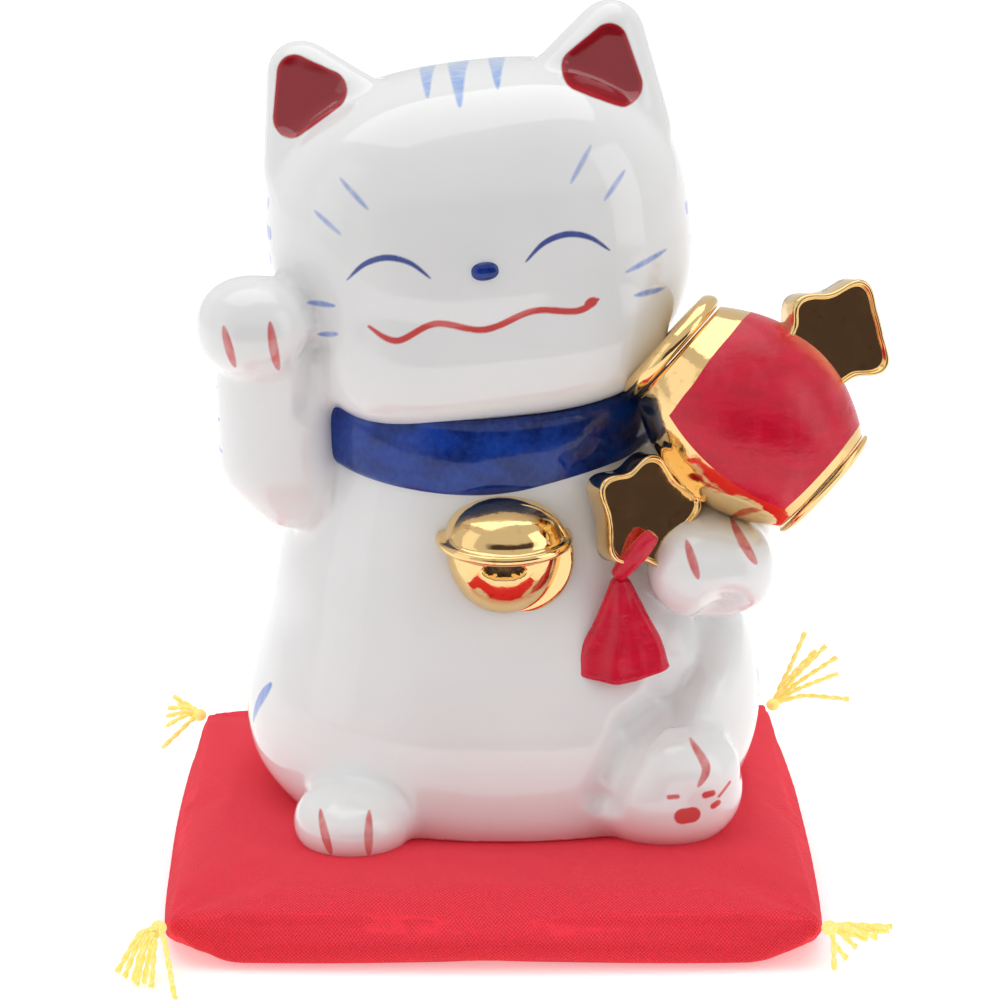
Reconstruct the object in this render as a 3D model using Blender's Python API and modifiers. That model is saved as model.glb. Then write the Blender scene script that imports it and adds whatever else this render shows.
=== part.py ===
"""A beckoning-cat figurine of slip-cast porcelain on its own square cushion.

The origin is on the cushion's underside, under the cat's trunk. +Z is up and the cat looks along
-Y. Left and right are those of a viewer who faces the cat, so left is -X.
Every length below is in millimetres and every angle in degrees; mm() turns a point into metres.
"""

import math

import bmesh
import bpy
from mathutils import Matrix, Vector

# Driving dimensions.
METRE = 1000.0
GAP = 0.3  # kept between two pieces that touch
CUSHION_SIDE = 90.6
CUSHION_MIDDLE = (-0.8, -4.5)  # the cat sits a little towards the back
CUSHION_HEIGHT = 9.2
SEAM_HEIGHT = 6.8
COVER_THICKNESS = 0.6
SEAT = 9.2  # the height of the cat's flat base
WALL = 3.4  # of the casting
VENT_RADIUS = 6.0
BEAD = 1.2  # the voxel that the clay forms are blended with
SMOOTHING = 12
CASTING_TRIANGLES = 2700

# The head: a rounded box that leans towards the raised arm.
HEAD_CENTRE = (-3.0, 1.5, 92.0)
HEAD_ROLL = 7.5
HEAD_RADII = (30.4, 25.0, 24.4)
HEAD_SQUARENESS = 2.6
MUZZLE = ((0.0, -7.6, -8.6), (24.0, 17.0, 15.0))
EAR_TIP = (21.2, 0.0, 26.2)
EAR_INNER = (12.0, -4.0, 18.5)
EAR_OUTER = (23.4, -5.0, 12.5)
EAR_BACK = (19.0, 4.0, 19.0)
EAR_RADIUS = 5.0
EAR_HOLLOW = ((20.0, 0.0, 21.5), (5.4, 6.6))  # the middle, and the radii across and up
EAR_HOLLOW_DEPTH = 1.1

# The trunk, the hind legs and the tail, each as (centre, radii).
BELLY = ((0.7, 3.0, 22.5), (37.2, 29.5, 24.0))
CHEST = ((-1.6, 3.0, 48.0), (29.6, 24.0, 24.0))
RIGHT_HAUNCH = ((-24.8, -2.0, 24.6), (13.0, 20.0, 18.0))
LEFT_HAUNCH = ((27.0, -2.0, 25.0), (12.5, 19.0, 18.0))
RIGHT_FOOT = ((-21.3, -25.6, 15.2), (8.9, 9.8, 8.2))
LEFT_FOOT = ((25.0, -20.5, 18.4), (10.8, 10.0, 10.6))
TAIL = ((-12.0, 32.0, 20.0), (8.0, 7.0, 7.5))
TRUNK_SQUARENESS = 2.2

# The arms, as balls (centre, radius) whose hull is the limb, and a paw.
RAISED_LIMB = (((-30.2, -10.0, 57.6), 8.6), ((-32.0, -11.5, 76.0), 7.8), ((-28.0, -7.0, 60.0), 7.5))
RAISED_PAW = ((-33.6, -16.2, 82.2), (8.2, 8.4, 7.3))
HOLDING_LIMB = (((24.0, -4.0, 56.0), 8.0), ((31.0, -10.0, 50.0), 8.0), ((30.0, -17.0, 48.0), 7.5))
HOLDING_PAW = ((30.3, -19.5, 47.4), (9.2, 8.0, 7.6))

# The collar is a ring of clay round the neck, lower in front.
COLLAR_CENTRE = (-3.0, 2.0, 65.8)
COLLAR_RING = (23.0, 19.4)
COLLAR_SECTION = (4.2, 5.2)
COLLAR_PITCH = 4.0

# The bell on the chest, turned about Z: radius against height.
BELL_CENTRE = (0.6, -20.5, 49.6)
BELL_PITCH = 8.0
BELL_DEPTH = 0.9
BELL_RADIUS = 8.4
BELL_LOWER = 7.6
BELL_UPPER = 8.2
BELL_FLANGE = (9.5, 0.9, 1.6)  # radius, half-height, height above the middle
NOSE = ((0.2, -24.1, -2.4), (1.9, 1.3, 1.35))

# The mallet. Its barrel lies along its own X.
MALLET_CENTRE = (35.0, -17.4, 69.2)
MALLET_TILT = 42.0
MALLET_TURN = -12.0
BARREL_HALF = 13.4
BARREL_END_RADIUS = 8.8
BARREL_BULGE = 4.8
RIM_LENGTH = 2.6
RIM_RADII = (7.2, 9.0)
# Each end of the handle is a thick plate: its middle, and the directions that its lobes point in.
HANDLE_ENDS = {
    "upper": ((47.0, -15.4, 80.6), (142, 64, -38, -110, -170)),
    "lower": ((20.9, -20.4, 56.7), (144, 80, 6, -71, -129)),
}
HANDLE_TURN = 16.0
HANDLE_RADIUS = 6.0
LOBE_HEIGHT = 2.3
LOBE_WIDTH = 22.0
HANDLE_THICKNESS = 6.0
HANDLE_ROUNDING = 1.0

STRAP = (((20.3, -25.4, 53.2), 1.7), ((16.8, -22.8, 48.8), 1.7))
TASSEL_TOP = ((16.2, -20.8, 46.8), 2.2)
TASSEL_HEM = (((10.6, -20.6, 34.6), 2.2), ((16.4, -21.4, 33.9), 2.4), ((22.6, -18.6, 36.6), 2.2))

# The cushion: how its edges and corners taper, and how far its lower part bellies out.
EDGE_POWER = 40.0
EDGE_ROUND = 0.4
CORNER_PINCH = 6.0
SIDE_BELLY = 1.4
COVER_STEPS = 14
FLAT_SHARE = 0.96  # what is fuller than this lies flat
WADDING_REACH = 0.86
SEAM_HALF = 0.25  # the lowest half-thickness, at the seam

# The corner tassels: the knot, and where the middle and the two sides of the yarn's fan end.
KNOT_RADIUS = 1.5
YARN_RADIUS = 1.0
CORNERS = {"front_left": (-1, -1), "front_right": (1, -1), "back_left": (-1, 1), "back_right": (1, 1)}
YARN_FANS = {
    "front_left": ((-5.0, -6.5, -4.0), (-1.2, -9.6, -4.6), (3.2, -7.6, -4.6)),
    "front_right": ((8.6, 0.0, -0.4), (6.6, -1.2, -2.6), (2.0, -1.6, -4.6)),
    "back_left": ((-4.6, 2.6, 0.8), (-5.6, 0.8, -1.2), (-5.0, -3.4, -3.0)),
    "back_right": ((5.2, 3.6, 10.4), (8.6, 3.0, 7.0), (10.4, 1.6, 0.6)),
}

COLOURS = {
    "porcelain": ((0.9, 0.9, 0.88), 0.08, 0.0),
    "cobalt": ((0.02, 0.05, 0.3), 0.1, 0.0),
    "gilding": ((0.83, 0.6, 0.26), 0.12, 1.0),
    "red_enamel": ((0.5, 0.01, 0.04), 0.25, 0.0),
    "cushion_cloth": ((0.7, 0.02, 0.05), 0.85, 0.0),
    "wadding": ((0.85, 0.83, 0.78), 0.95, 0.0),
    "yellow_yarn": ((0.9, 0.75, 0.12), 0.8, 0.0),
}


def mm(point):
    """A point or a size in millimetres, in metres."""
    return Vector(point) / METRE


def clear_scene():
    for obj in list(bpy.data.objects):
        bpy.data.objects.remove(obj)


def collection(name):
    made = bpy.data.collections.new(name)
    bpy.context.scene.collection.children.link(made)
    return made


def material(name):
    if name in bpy.data.materials:
        return bpy.data.materials[name]
    colour, roughness, metallic = COLOURS[name]
    made = bpy.data.materials.new(name)
    made.use_nodes = True
    shader = made.node_tree.nodes["Principled BSDF"]
    shader.inputs["Base Color"].default_value = (*colour, 1.0)
    shader.inputs["Roughness"].default_value = roughness
    shader.inputs["Metallic"].default_value = metallic
    return made


def add_object(name, mesh, group, finish=None):
    obj = bpy.data.objects.new(name, mesh)
    group.objects.link(obj)
    if finish:
        mesh.materials.append(material(finish))
    mesh.shade_smooth()
    mesh.set_sharp_from_angle(angle=math.radians(40))
    return obj


def mesh_of(name, form):
    mesh = bpy.data.meshes.new(name)
    form.to_mesh(mesh)
    form.free()
    return mesh


def baked(obj):
    """The evaluated mesh of an object, which is then removed."""
    bpy.context.view_layer.update()
    graph = bpy.context.evaluated_depsgraph_get()
    mesh = bpy.data.meshes.new_from_object(obj.evaluated_get(graph))
    mesh.transform(obj.matrix_world)
    bpy.data.objects.remove(obj)
    return mesh


def add_blob(form, centre, radii, squareness=2.0, place=None):
    """Adds a superellipsoid to a bmesh: 2 is an ellipsoid, and more is boxier."""
    made = bmesh.ops.create_uvsphere(form, u_segments=48, v_segments=32, radius=1.0)
    for vert in made["verts"]:
        size = sum(abs(c) ** squareness for c in vert.co) ** (1.0 / squareness)
        vert.co = Vector(c / size * r for c, r in zip(vert.co, radii)) + Vector(centre)
        vert.co = mm(vert.co)
    if place:
        bmesh.ops.transform(form, matrix=place, verts=made["verts"])


def add_hull(form, balls, place=None):
    """Adds the convex hull of some balls to a bmesh."""
    shell = bmesh.new()
    for centre, radius in balls:
        at = Matrix.Translation(mm(centre))
        bmesh.ops.create_icosphere(shell, subdivisions=3, radius=radius / METRE, matrix=at)
    bmesh.ops.delete(shell, geom=shell.edges[:], context="EDGES_FACES")
    bmesh.ops.convex_hull(shell, input=shell.verts, use_existing_faces=False)
    inside = [vert for vert in shell.verts if not vert.link_faces]
    bmesh.ops.delete(shell, geom=inside, context="VERTS")
    if place:
        bmesh.ops.transform(shell, matrix=place, verts=shell.verts)
    mesh = mesh_of("hull", shell)
    form.from_mesh(mesh)
    bpy.data.meshes.remove(mesh)


def add_ring(form, centre, ring, section, pitch, segments=48, sides=14):
    """Adds an elliptical ring of elliptical section, pitched about X, to a bmesh."""
    place = Matrix.Translation(mm(centre)) @ Matrix.Rotation(math.radians(pitch), 4, "X")
    bpy.ops.mesh.primitive_torus_add(
        major_segments=segments, minor_segments=sides, major_radius=1.0, minor_radius=0.5
    )
    torus = bpy.context.object
    for vert in torus.data.vertices:
        x, y, z = vert.co
        around = math.atan2(y, x)
        out = (math.hypot(x, y) - 1.0) * 2.0 * section[0]
        flat = ((ring[0] + out) * math.cos(around), (ring[1] + out) * math.sin(around))
        vert.co = mm((*flat, z * 2.0 * section[1]))
    torus.data.transform(place)
    form.from_mesh(torus.data)
    bpy.data.objects.remove(torus)


def blended(name, form, bead=BEAD, rounds=SMOOTHING):
    """One clay form from overlapping shapes, with soft fillets where they meet."""
    obj = bpy.data.objects.new(name, mesh_of(name, form))
    bpy.context.scene.collection.objects.link(obj)
    remesh = obj.modifiers.new("Blend", "REMESH")
    remesh.mode = "VOXEL"
    remesh.voxel_size = bead / METRE
    smooth = obj.modifiers.new("Soften", "SMOOTH")
    smooth.factor = 0.5
    smooth.iterations = rounds
    return baked(obj)


def reduced(name, mesh, triangles):
    obj = bpy.data.objects.new(name, mesh)
    bpy.context.scene.collection.objects.link(obj)
    decimate = obj.modifiers.new("Reduce", "DECIMATE")
    decimate.ratio = min(1.0, triangles / sum(len(face.vertices) - 2 for face in mesh.polygons))
    return baked(obj)


def cut_flat(mesh, height):
    """Cuts a mesh off below a height, and closes it with one flat face."""
    form = bmesh.new()
    form.from_mesh(mesh)
    whole = form.verts[:] + form.edges[:] + form.faces[:]
    bmesh.ops.bisect_plane(
        form, geom=whole, plane_co=mm((0, 0, height)), plane_no=(0, 0, 1), clear_inner=True
    )
    rim = [edge for edge in form.edges if edge.is_boundary]
    bmesh.ops.contextual_create(form, geom=rim)
    bmesh.ops.recalc_face_normals(form, faces=form.faces)
    form.to_mesh(mesh)
    form.free()
    return mesh


def swollen(name, mesh, amount, group):
    """A hidden cutter: the mesh, larger by an amount along its normals."""
    obj = add_object(name + "_cutter", mesh.copy(), group)
    obj.hide_render = True
    obj.display_type = "WIRE"
    normals = [vert.normal.copy() for vert in obj.data.vertices]
    for vert, normal in zip(obj.data.vertices, normals):
        vert.co += normal * amount / METRE
    return obj


def head_place():
    return Matrix.Translation(mm(HEAD_CENTRE)) @ Matrix.Rotation(-math.radians(HEAD_ROLL), 4, "Y")


def mirrored(point, side):
    return (point[0] * side, point[1], point[2])


def press_ears(mesh):
    """Pushes the hollow of each ear in, away from the cat's face."""
    (across, _, up), radii = EAR_HOLLOW
    back = head_place().inverted()
    push = head_place().to_3x3() @ mm((0.0, EAR_HOLLOW_DEPTH, 0.0))
    for vert in mesh.vertices:
        x, y, z = (back @ vert.co) * METRE
        away = ((abs(x) - across) / radii[0]) ** 2 + ((z - up) / radii[1]) ** 2
        if y < 0.0 and away < 1.0:
            vert.co += push * (1.0 - away) ** 0.5


def trunk_blobs(form, shrink=0.0):
    def smaller(radii):
        return tuple(r - shrink for r in radii)

    for centre, radii in (BELLY, CHEST):
        add_blob(form, centre, smaller(radii), TRUNK_SQUARENESS)
    add_blob(form, (0, 0, 0), smaller(HEAD_RADII), HEAD_SQUARENESS, head_place())


def casting_mesh():
    """The head, the trunk and the hind legs, which come out of one mould."""
    form = bmesh.new()
    trunk_blobs(form)
    for centre, radii in (RIGHT_HAUNCH, LEFT_HAUNCH, RIGHT_FOOT, LEFT_FOOT, TAIL):
        add_blob(form, centre, radii)
    add_blob(form, *MUZZLE, place=head_place())
    for side in (-1, 1):
        points = (EAR_TIP, EAR_INNER, EAR_OUTER, EAR_BACK)
        add_hull(form, [(mirrored(p, side), EAR_RADIUS) for p in points], head_place())
    mesh = blended("casting", form)
    press_ears(mesh)
    return cut_flat(reduced("casting", mesh, CASTING_TRIANGLES), SEAT)


def cavity_mesh():
    """The hollow that pouring the slip back out leaves, with its vent through the base."""
    form = bmesh.new()
    trunk_blobs(form, WALL)
    mesh = reduced("cavity", blended("cavity", form, 2.4, 3), 700)
    return cut_flat(mesh, SEAT + WALL)


def limb_mesh(name, balls, paw, triangles):
    form = bmesh.new()
    add_hull(form, balls)
    add_blob(form, *paw, squareness=2.2)
    return reduced(name, blended(name, form, 1.0, 8), triangles)


def collar_mesh():
    form = bmesh.new()
    add_ring(form, COLLAR_CENTRE, COLLAR_RING, COLLAR_SECTION, COLLAR_PITCH)
    return mesh_of("collar", form)


def turned_mesh(name, profile, steps=26):
    """A solid of revolution about Z: the profile runs down its outer side, from axis to axis."""
    mesh = bpy.data.meshes.new(name)
    points = [(radius / METRE, 0.0, height / METRE) for radius, height in profile]
    mesh.from_pydata(points, [(i, i + 1) for i in range(len(points) - 1)], [])
    obj = bpy.data.objects.new(name, mesh)
    bpy.context.scene.collection.objects.link(obj)
    screw = obj.modifiers.new("Turn", "SCREW")
    screw.steps = steps
    screw.render_steps = steps
    screw.use_merge_vertices = True
    screw.merge_threshold = 1e-5
    return baked(obj)


def bell_profile():
    """A crotal bell: a bowl, a flange where the halves meet, and a dome."""
    flange, half, level = BELL_FLANGE
    steps = 7
    points = [(0.0, BELL_UPPER)]
    for i in range(1, steps):
        turn = math.pi / 2 * i / steps
        height = level + half + (BELL_UPPER - level - half) * math.cos(turn)
        points.append((BELL_RADIUS * 0.88 * math.sin(turn), height))
    points += [(flange - 0.5, level + half), (flange, level), (flange - 0.6, level - half)]
    for i in range(1, steps):
        turn = math.pi / 2 * i / steps
        height = level - half - (BELL_LOWER + level - half) * math.sin(turn)
        points.append((BELL_RADIUS * math.cos(turn), height))
    return points + [(0.0, -BELL_LOWER)]


def bell_mesh():
    mesh = turned_mesh("bell", bell_profile())
    mesh.transform(Matrix.Diagonal((1.0, BELL_DEPTH, 1.0, 1.0)))
    mesh.transform(Matrix.Rotation(math.radians(BELL_PITCH), 4, "X"))
    mesh.transform(Matrix.Translation(mm(BELL_CENTRE)))
    return mesh


def blob_mesh(name, blob, place=None, u=24, v=16):
    centre, radii = blob
    form = bmesh.new()
    bmesh.ops.create_uvsphere(form, u_segments=u, v_segments=v, radius=1.0)
    size = Matrix.Translation(mm(centre)) @ Matrix.Diagonal((*mm(radii), 1.0))
    bmesh.ops.transform(form, matrix=(place or Matrix()) @ size, verts=form.verts)
    return mesh_of(name, form)


def mallet_place():
    turn = Matrix.Rotation(math.radians(MALLET_TURN), 4, "Z")
    tilt = Matrix.Rotation(math.radians(MALLET_TILT), 4, "Y")
    return Matrix.Translation(mm(MALLET_CENTRE)) @ turn @ tilt


def along_barrel():
    """Takes a form turned about Z onto the barrel's axis."""
    return mallet_place() @ Matrix.Rotation(math.radians(90), 4, "Y")


def barrel_mesh():
    steps = 10
    profile = [(0.0, BARREL_HALF)]
    for i in range(steps + 1):
        height = BARREL_HALF * (1.0 - 2.0 * i / steps)
        bulge = BARREL_BULGE * (1.0 - (height / BARREL_HALF) ** 2)
        profile.append((BARREL_END_RADIUS + bulge, height))
    profile.append((0.0, -BARREL_HALF))
    mesh = turned_mesh("barrel", profile)
    mesh.transform(along_barrel())
    return mesh


def rim_mesh(side):
    """A gilt end cap of the barrel, with a bead round it."""
    inner, outer = RIM_RADII
    start = BARREL_HALF + GAP
    half = RIM_LENGTH / 2
    outline = ((0.7, 1.0), (0.0, 0.45), (0.5, 0.0), (0.0, -0.45), (0.7, -1.0))
    bead = [(outer - inset, share * half) for inset, share in outline]
    profile = [(0.0, half), (inner, half), *bead, (0.0, -half)]
    mesh = turned_mesh("rim", profile)
    mesh.transform(Matrix.Translation(mm((0, 0, side * (start + half)))))
    mesh.transform(along_barrel())
    return mesh


def lobed_radius(angle, lobes):
    """A plate's radius in one direction: each lobe is a rounded bump on a circle."""
    off = [(angle - lobe + 180.0) % 360.0 - 180.0 for lobe in lobes]
    return HANDLE_RADIUS + LOBE_HEIGHT * sum(math.exp(-((turn / LOBE_WIDTH) ** 2)) for turn in off)


def handle_mesh(end):
    """One end of the handle: a thick plate with a lobed outline, parallel to the barrel's axis."""
    curve = bpy.data.curves.new("handle", "CURVE")
    curve.dimensions = "2D"
    curve.fill_mode = "BOTH"
    curve.extrude = (HANDLE_THICKNESS / 2 - HANDLE_ROUNDING) / METRE
    curve.bevel_depth = HANDLE_ROUNDING / METRE
    curve.bevel_resolution = 1
    curve.offset = -HANDLE_ROUNDING / METRE
    centre, lobes = HANDLE_ENDS[end]
    steps = 40
    spline = curve.splines.new("POLY")
    spline.points.add(steps - 1)
    for i, point in enumerate(spline.points):
        angle = 360.0 * i / steps
        radius = lobed_radius(angle, lobes)
        across, up = radius * math.cos(math.radians(angle)), radius * math.sin(math.radians(angle))
        point.co = (*mm((across, up, 0)), 1.0)
    spline.use_cyclic_u = True
    obj = bpy.data.objects.new("handle", curve)
    bpy.context.scene.collection.objects.link(obj)
    mesh = baked(obj)
    form = bmesh.new()
    form.from_mesh(mesh)
    bmesh.ops.remove_doubles(form, verts=form.verts, dist=1e-6)
    bmesh.ops.recalc_face_normals(form, faces=form.faces)
    form.to_mesh(mesh)
    form.free()
    turn = Matrix.Rotation(math.radians(HANDLE_TURN), 4, "Z")
    mesh.transform(Matrix.Translation(mm(centre)) @ turn @ Matrix.Rotation(math.radians(90), 4, "X"))
    return mesh


def hull_mesh(name, balls, triangles):
    form = bmesh.new()
    add_hull(form, balls)
    return reduced(name, mesh_of(name, form), triangles)


def share_of_depth(s, t):
    """How full the cushion is where s and t run from -1 to 1 across its sides: 1 is full."""
    edge = (1.0 - abs(s) ** EDGE_POWER) * (1.0 - abs(t) ** EDGE_POWER)
    from_corner = CUSHION_SIDE / 2 * math.hypot(1.0 - abs(s), 1.0 - abs(t))
    pinch = 1.0 - math.exp(-((from_corner / CORNER_PINCH) ** 2))
    full = max(edge, 0.0) ** EDGE_ROUND * pinch
    return 1.0 if full > FLAT_SHARE else full


def edge_crowded(step):
    """Spaces steps from -1 to 1 closer together towards the edges."""
    once = math.sin(step * math.pi / 2)
    return once * 0.35 + math.sin(once * math.pi / 2) * 0.65


def cushion_point(s, t, side, inset):
    """A point on the cushion's upper (1) or lower (-1) skin, or a given depth inside it."""
    full = share_of_depth(s, t)
    depth = CUSHION_HEIGHT - GAP - SEAM_HEIGHT if side > 0 else SEAM_HEIGHT
    belly = SIDE_BELLY * min(1.0, 2.0 * full) if side < 0 else 0.0
    half = CUSHION_SIDE / 2 - inset
    x = s * (half + belly * (1.0 - t**4))
    y = t * (half + belly * (1.0 - s**4))
    lift = max(0.12, max(SEAM_HALF, depth * full) - inset)
    return mm((x + CUSHION_MIDDLE[0], y + CUSHION_MIDDLE[1], SEAM_HEIGHT + side * lift))


def skin_grid(form, side, inset, steps, reach=1.0):
    """One face of the cushion, out to a share of its width, as a grid of verts."""
    crowd = [reach * edge_crowded(2.0 * i / steps - 1.0) for i in range(steps + 1)]
    return [[form.verts.new(cushion_point(s, t, side, inset)) for s in crowd] for t in crowd]


def loft_grids(form, top, bottom):
    """Faces for two grids of the same size, and the band that joins their edges."""
    last = len(top) - 1
    for i in range(last):
        for j in range(last):
            form.faces.new((top[i][j], top[i][j + 1], top[i + 1][j + 1], top[i + 1][j]))
            form.faces.new((bottom[i][j], bottom[i + 1][j], bottom[i + 1][j + 1], bottom[i][j + 1]))
    around = [(0, j) for j in range(last)] + [(i, last) for i in range(last)]
    around += [(last, j) for j in range(last, 0, -1)] + [(i, 0) for i in range(last, 0, -1)]
    for (i, j), (k, m) in zip(around, around[1:] + around[:1]):
        form.faces.new((top[i][j], bottom[i][j], bottom[k][m], top[k][m]))
    bmesh.ops.recalc_face_normals(form, faces=form.faces)


def cover_mesh(side):
    """One panel of the cover: a sheet of cloth over half of the cushion."""
    form = bmesh.new()
    outer = skin_grid(form, side, 0.0, COVER_STEPS)
    inner = skin_grid(form, side, COVER_THICKNESS, COVER_STEPS)
    loft_grids(form, *((outer, inner) if side > 0 else (inner, outer)))
    return mesh_of("cover", form)


def wadding_mesh():
    form = bmesh.new()
    depth = COVER_THICKNESS + 2 * GAP
    grids = [skin_grid(form, side, depth, 10, WADDING_REACH) for side in (1, -1)]
    loft_grids(form, *grids)
    return mesh_of("wadding", form)


def corner_tassel_mesh(name):
    """A knot at a corner of the cushion, and the fan of yarn that comes out of it."""
    side, end = CORNERS[name]
    reach = CUSHION_SIDE / 2 + GAP + KNOT_RADIUS * 0.75
    x, y = CUSHION_MIDDLE
    knot = Vector((x + side * reach, y + end * reach, SEAM_HEIGHT))
    balls = [(knot, KNOT_RADIUS)]
    balls += [(knot + Vector(tip), YARN_RADIUS) for tip in YARN_FANS[name]]
    return hull_mesh(name, balls, 160)


def clay_pieces():
    """Each piece of the figurine: its mesh, its finish, and the pieces that it must stay clear of."""
    body = ("body_casting",)
    dressed = (*body, "collar_band")
    held = (*dressed, "holding_arm", "mallet_barrel")
    lower = (*body, "holding_arm", "mallet_handle_lower")
    return {
        "body_casting": (casting_mesh(), "porcelain", ()),
        "collar_band": (collar_mesh(), "cobalt", body),
        "raised_arm": (limb_mesh("raised_arm", RAISED_LIMB, RAISED_PAW, 480), "porcelain", dressed),
        "holding_arm": (limb_mesh("holding_arm", HOLDING_LIMB, HOLDING_PAW, 480), "porcelain", dressed),
        "nose": (blob_mesh("nose", NOSE, head_place(), 16, 10), "cobalt", body),
        "bell": (bell_mesh(), "gilding", dressed),
        "mallet_barrel": (barrel_mesh(), "red_enamel", held[:3]),
        "mallet_rim_inner": (rim_mesh(-1), "gilding", held[:3]),
        "mallet_rim_outer": (rim_mesh(1), "gilding", held[:3]),
        "mallet_handle_upper": (handle_mesh("upper"), "gilding", held),
        "mallet_handle_lower": (handle_mesh("lower"), "gilding", (*held, "mallet_rim_inner", "bell")),
        "tassel_cord": (hull_mesh("tassel_cord", STRAP, 140), "red_enamel", lower),
        "mallet_tassel": (
            hull_mesh("mallet_tassel", (TASSEL_TOP, *TASSEL_HEM), 240),
            "red_enamel",
            (*lower, "tassel_cord", "bell"),
        ),
    }


def fit_together(pieces, parts, cutters):
    """Adds the pieces, each cut back from those it touches."""
    swells = {}
    for name, (mesh, finish, neighbours) in pieces.items():
        obj = add_object(name, mesh, parts, finish)
        for other in neighbours:
            if other not in swells:
                swells[other] = swollen(other, pieces[other][0], GAP, cutters)
            fit = obj.modifiers.new("Clear of " + other, "BOOLEAN")
            fit.operation = "DIFFERENCE"
            fit.object = swells[other]


def hollow_casting(casting, cutters):
    cavity = add_object("cavity_cutter", cavity_mesh(), cutters)
    form = bmesh.new()
    middle = Matrix.Translation(mm((BELLY[0][0], BELLY[0][1], SEAT + WALL / 2)))
    bmesh.ops.create_cone(
        form, cap_ends=True, segments=32, radius1=VENT_RADIUS / METRE, radius2=VENT_RADIUS / METRE,
        depth=2 * WALL / METRE, matrix=middle,
    )
    vent = add_object("vent_cutter", mesh_of("vent", form), cutters)
    for cutter in (cavity, vent):
        cutter.hide_render = True
        cutter.display_type = "WIRE"
        cut = casting.modifiers.new("Hollow", "BOOLEAN")
        cut.operation = "DIFFERENCE"
        cut.object = cutter


def build():
    clear_scene()
    parts = collection("Beckoning cat figurine")
    cutters = collection("Cutters")
    fit_together(clay_pieces(), parts, cutters)
    hollow_casting(bpy.data.objects["body_casting"], cutters)
    add_object("cushion_cover_top", cover_mesh(1), parts, "cushion_cloth")
    add_object("cushion_cover_bottom", cover_mesh(-1), parts, "cushion_cloth")
    add_object("cushion_wadding", wadding_mesh(), parts, "wadding")
    for corner in CORNERS:
        add_object("corner_tassel_" + corner, corner_tassel_mesh(corner), parts, "yellow_yarn")


build()
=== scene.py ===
"""The looks of a porcelain beckoning cat on its cushion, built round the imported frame.

This script's own lengths are in millimetres, and mm() turns a point into metres. +Z is up, the cat
looks along -Y, and left and right are those of a viewer who faces it, so left is -X.
"""
import math
import random

import bmesh
import bpy
import numpy as np
from mathutils import Matrix, Vector, noise


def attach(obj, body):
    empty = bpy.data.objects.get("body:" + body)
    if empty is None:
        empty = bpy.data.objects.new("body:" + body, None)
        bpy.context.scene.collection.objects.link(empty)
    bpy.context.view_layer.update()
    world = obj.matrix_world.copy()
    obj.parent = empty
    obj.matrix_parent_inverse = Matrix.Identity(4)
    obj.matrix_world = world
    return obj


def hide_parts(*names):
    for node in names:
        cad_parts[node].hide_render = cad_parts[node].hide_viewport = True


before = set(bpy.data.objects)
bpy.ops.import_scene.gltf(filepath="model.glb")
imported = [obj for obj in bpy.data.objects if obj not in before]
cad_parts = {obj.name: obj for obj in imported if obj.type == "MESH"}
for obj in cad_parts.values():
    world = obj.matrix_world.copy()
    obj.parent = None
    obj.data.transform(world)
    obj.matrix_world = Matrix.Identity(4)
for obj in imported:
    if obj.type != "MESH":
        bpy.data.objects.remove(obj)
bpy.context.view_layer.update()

METRE = 1000.0
SEED = 7
SMOOTH_AXES = ("use_axis_x", "use_axis_y", "use_axis_z")

# The camera looks down on the cat a little from in front.
CAMERA_AT = (0.0, -475.0, 178.0)
CAMERA_PITCH = 14.8
CAMERA_LENS = 120.5

# The clay forms. Each one is (centre, radii), and the limbs are hulls of (centre, radius) balls.
SKIN_BEAD = 0.55
SKIN_ROUNDS = 46
SEAT = 9.2
VENT_RADIUS = 6.0
WALL = 3.4
# The hollow inside, from the vent up: (radius, height).
HOLLOW = (
    (VENT_RADIUS, SEAT), (VENT_RADIUS, SEAT + WALL), (20.0, SEAT + WALL + 1.0), (25.0, 22.0),
    (21.0, 38.0), (17.0, 52.0), (8.0, 58.0),
)
HOLLOW_STEPS = 48
HEAD_CENTRE = (-3.0, 1.5, 92.0)
HEAD_ROLL = 7.5
HEAD_RADII = (30.4, 25.0, 24.4)
HEAD_SQUARENESS = 2.6
MUZZLE = ((0.0, -8.0, -11.3), (25.2, 16.4, 13.2))
MUZZLE_SQUARENESS = 3.2
EAR_BALLS = (
    ((22.2, 0.0, 26.0), 5.0),
    ((12.4, -4.0, 18.8), 5.0),
    ((24.3, -5.0, 12.5), 5.0),
    ((19.0, 4.0, 19.0), 5.0),
)
TRUNK_SQUARENESS = 2.2
TRUNK_SPINE = 3.0
TRUNK_STEPS = 120
# The trunk's sections: (height, middle in X, half-width, front, back).
TRUNK = (
    (3.0, 0.5, 27.0, -20.0, 26.0),
    (9.0, 0.5, 33.0, -26.6, 31.0),
    (15.0, 0.15, 36.9, -28.0, 32.6),
    (23.0, 0.2, 38.1, -27.8, 32.8),
    (30.0, 0.2, 36.5, -26.4, 32.0),
    (37.0, -0.2, 34.1, -24.4, 30.2),
    (44.0, -0.9, 32.2, -22.4, 28.2),
    (52.0, -1.4, 29.4, -20.8, 26.2),
    (60.0, -2.0, 26.8, -19.0, 23.8),
    (67.0, -2.6, 22.5, -16.0, 20.5),
    (73.0, -3.0, 15.0, -9.0, 14.0),
)
LEGS = (
    ((26.8, -3.0, 25.0), (11.6, 19.5, 18.5)),
    ((-20.9, -24.2, 11.8), (8.8, 10.4, 6.0)),
    ((23.6, -20.5, 15.6), (11.4, 11.4, 9.2)),
    ((26.0, -24.0, 19.4), (8.4, 7.8, 6.6)),
    ((-12.0, 32.0, 20.0), (8.0, 7.0, 7.5)),
)
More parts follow.
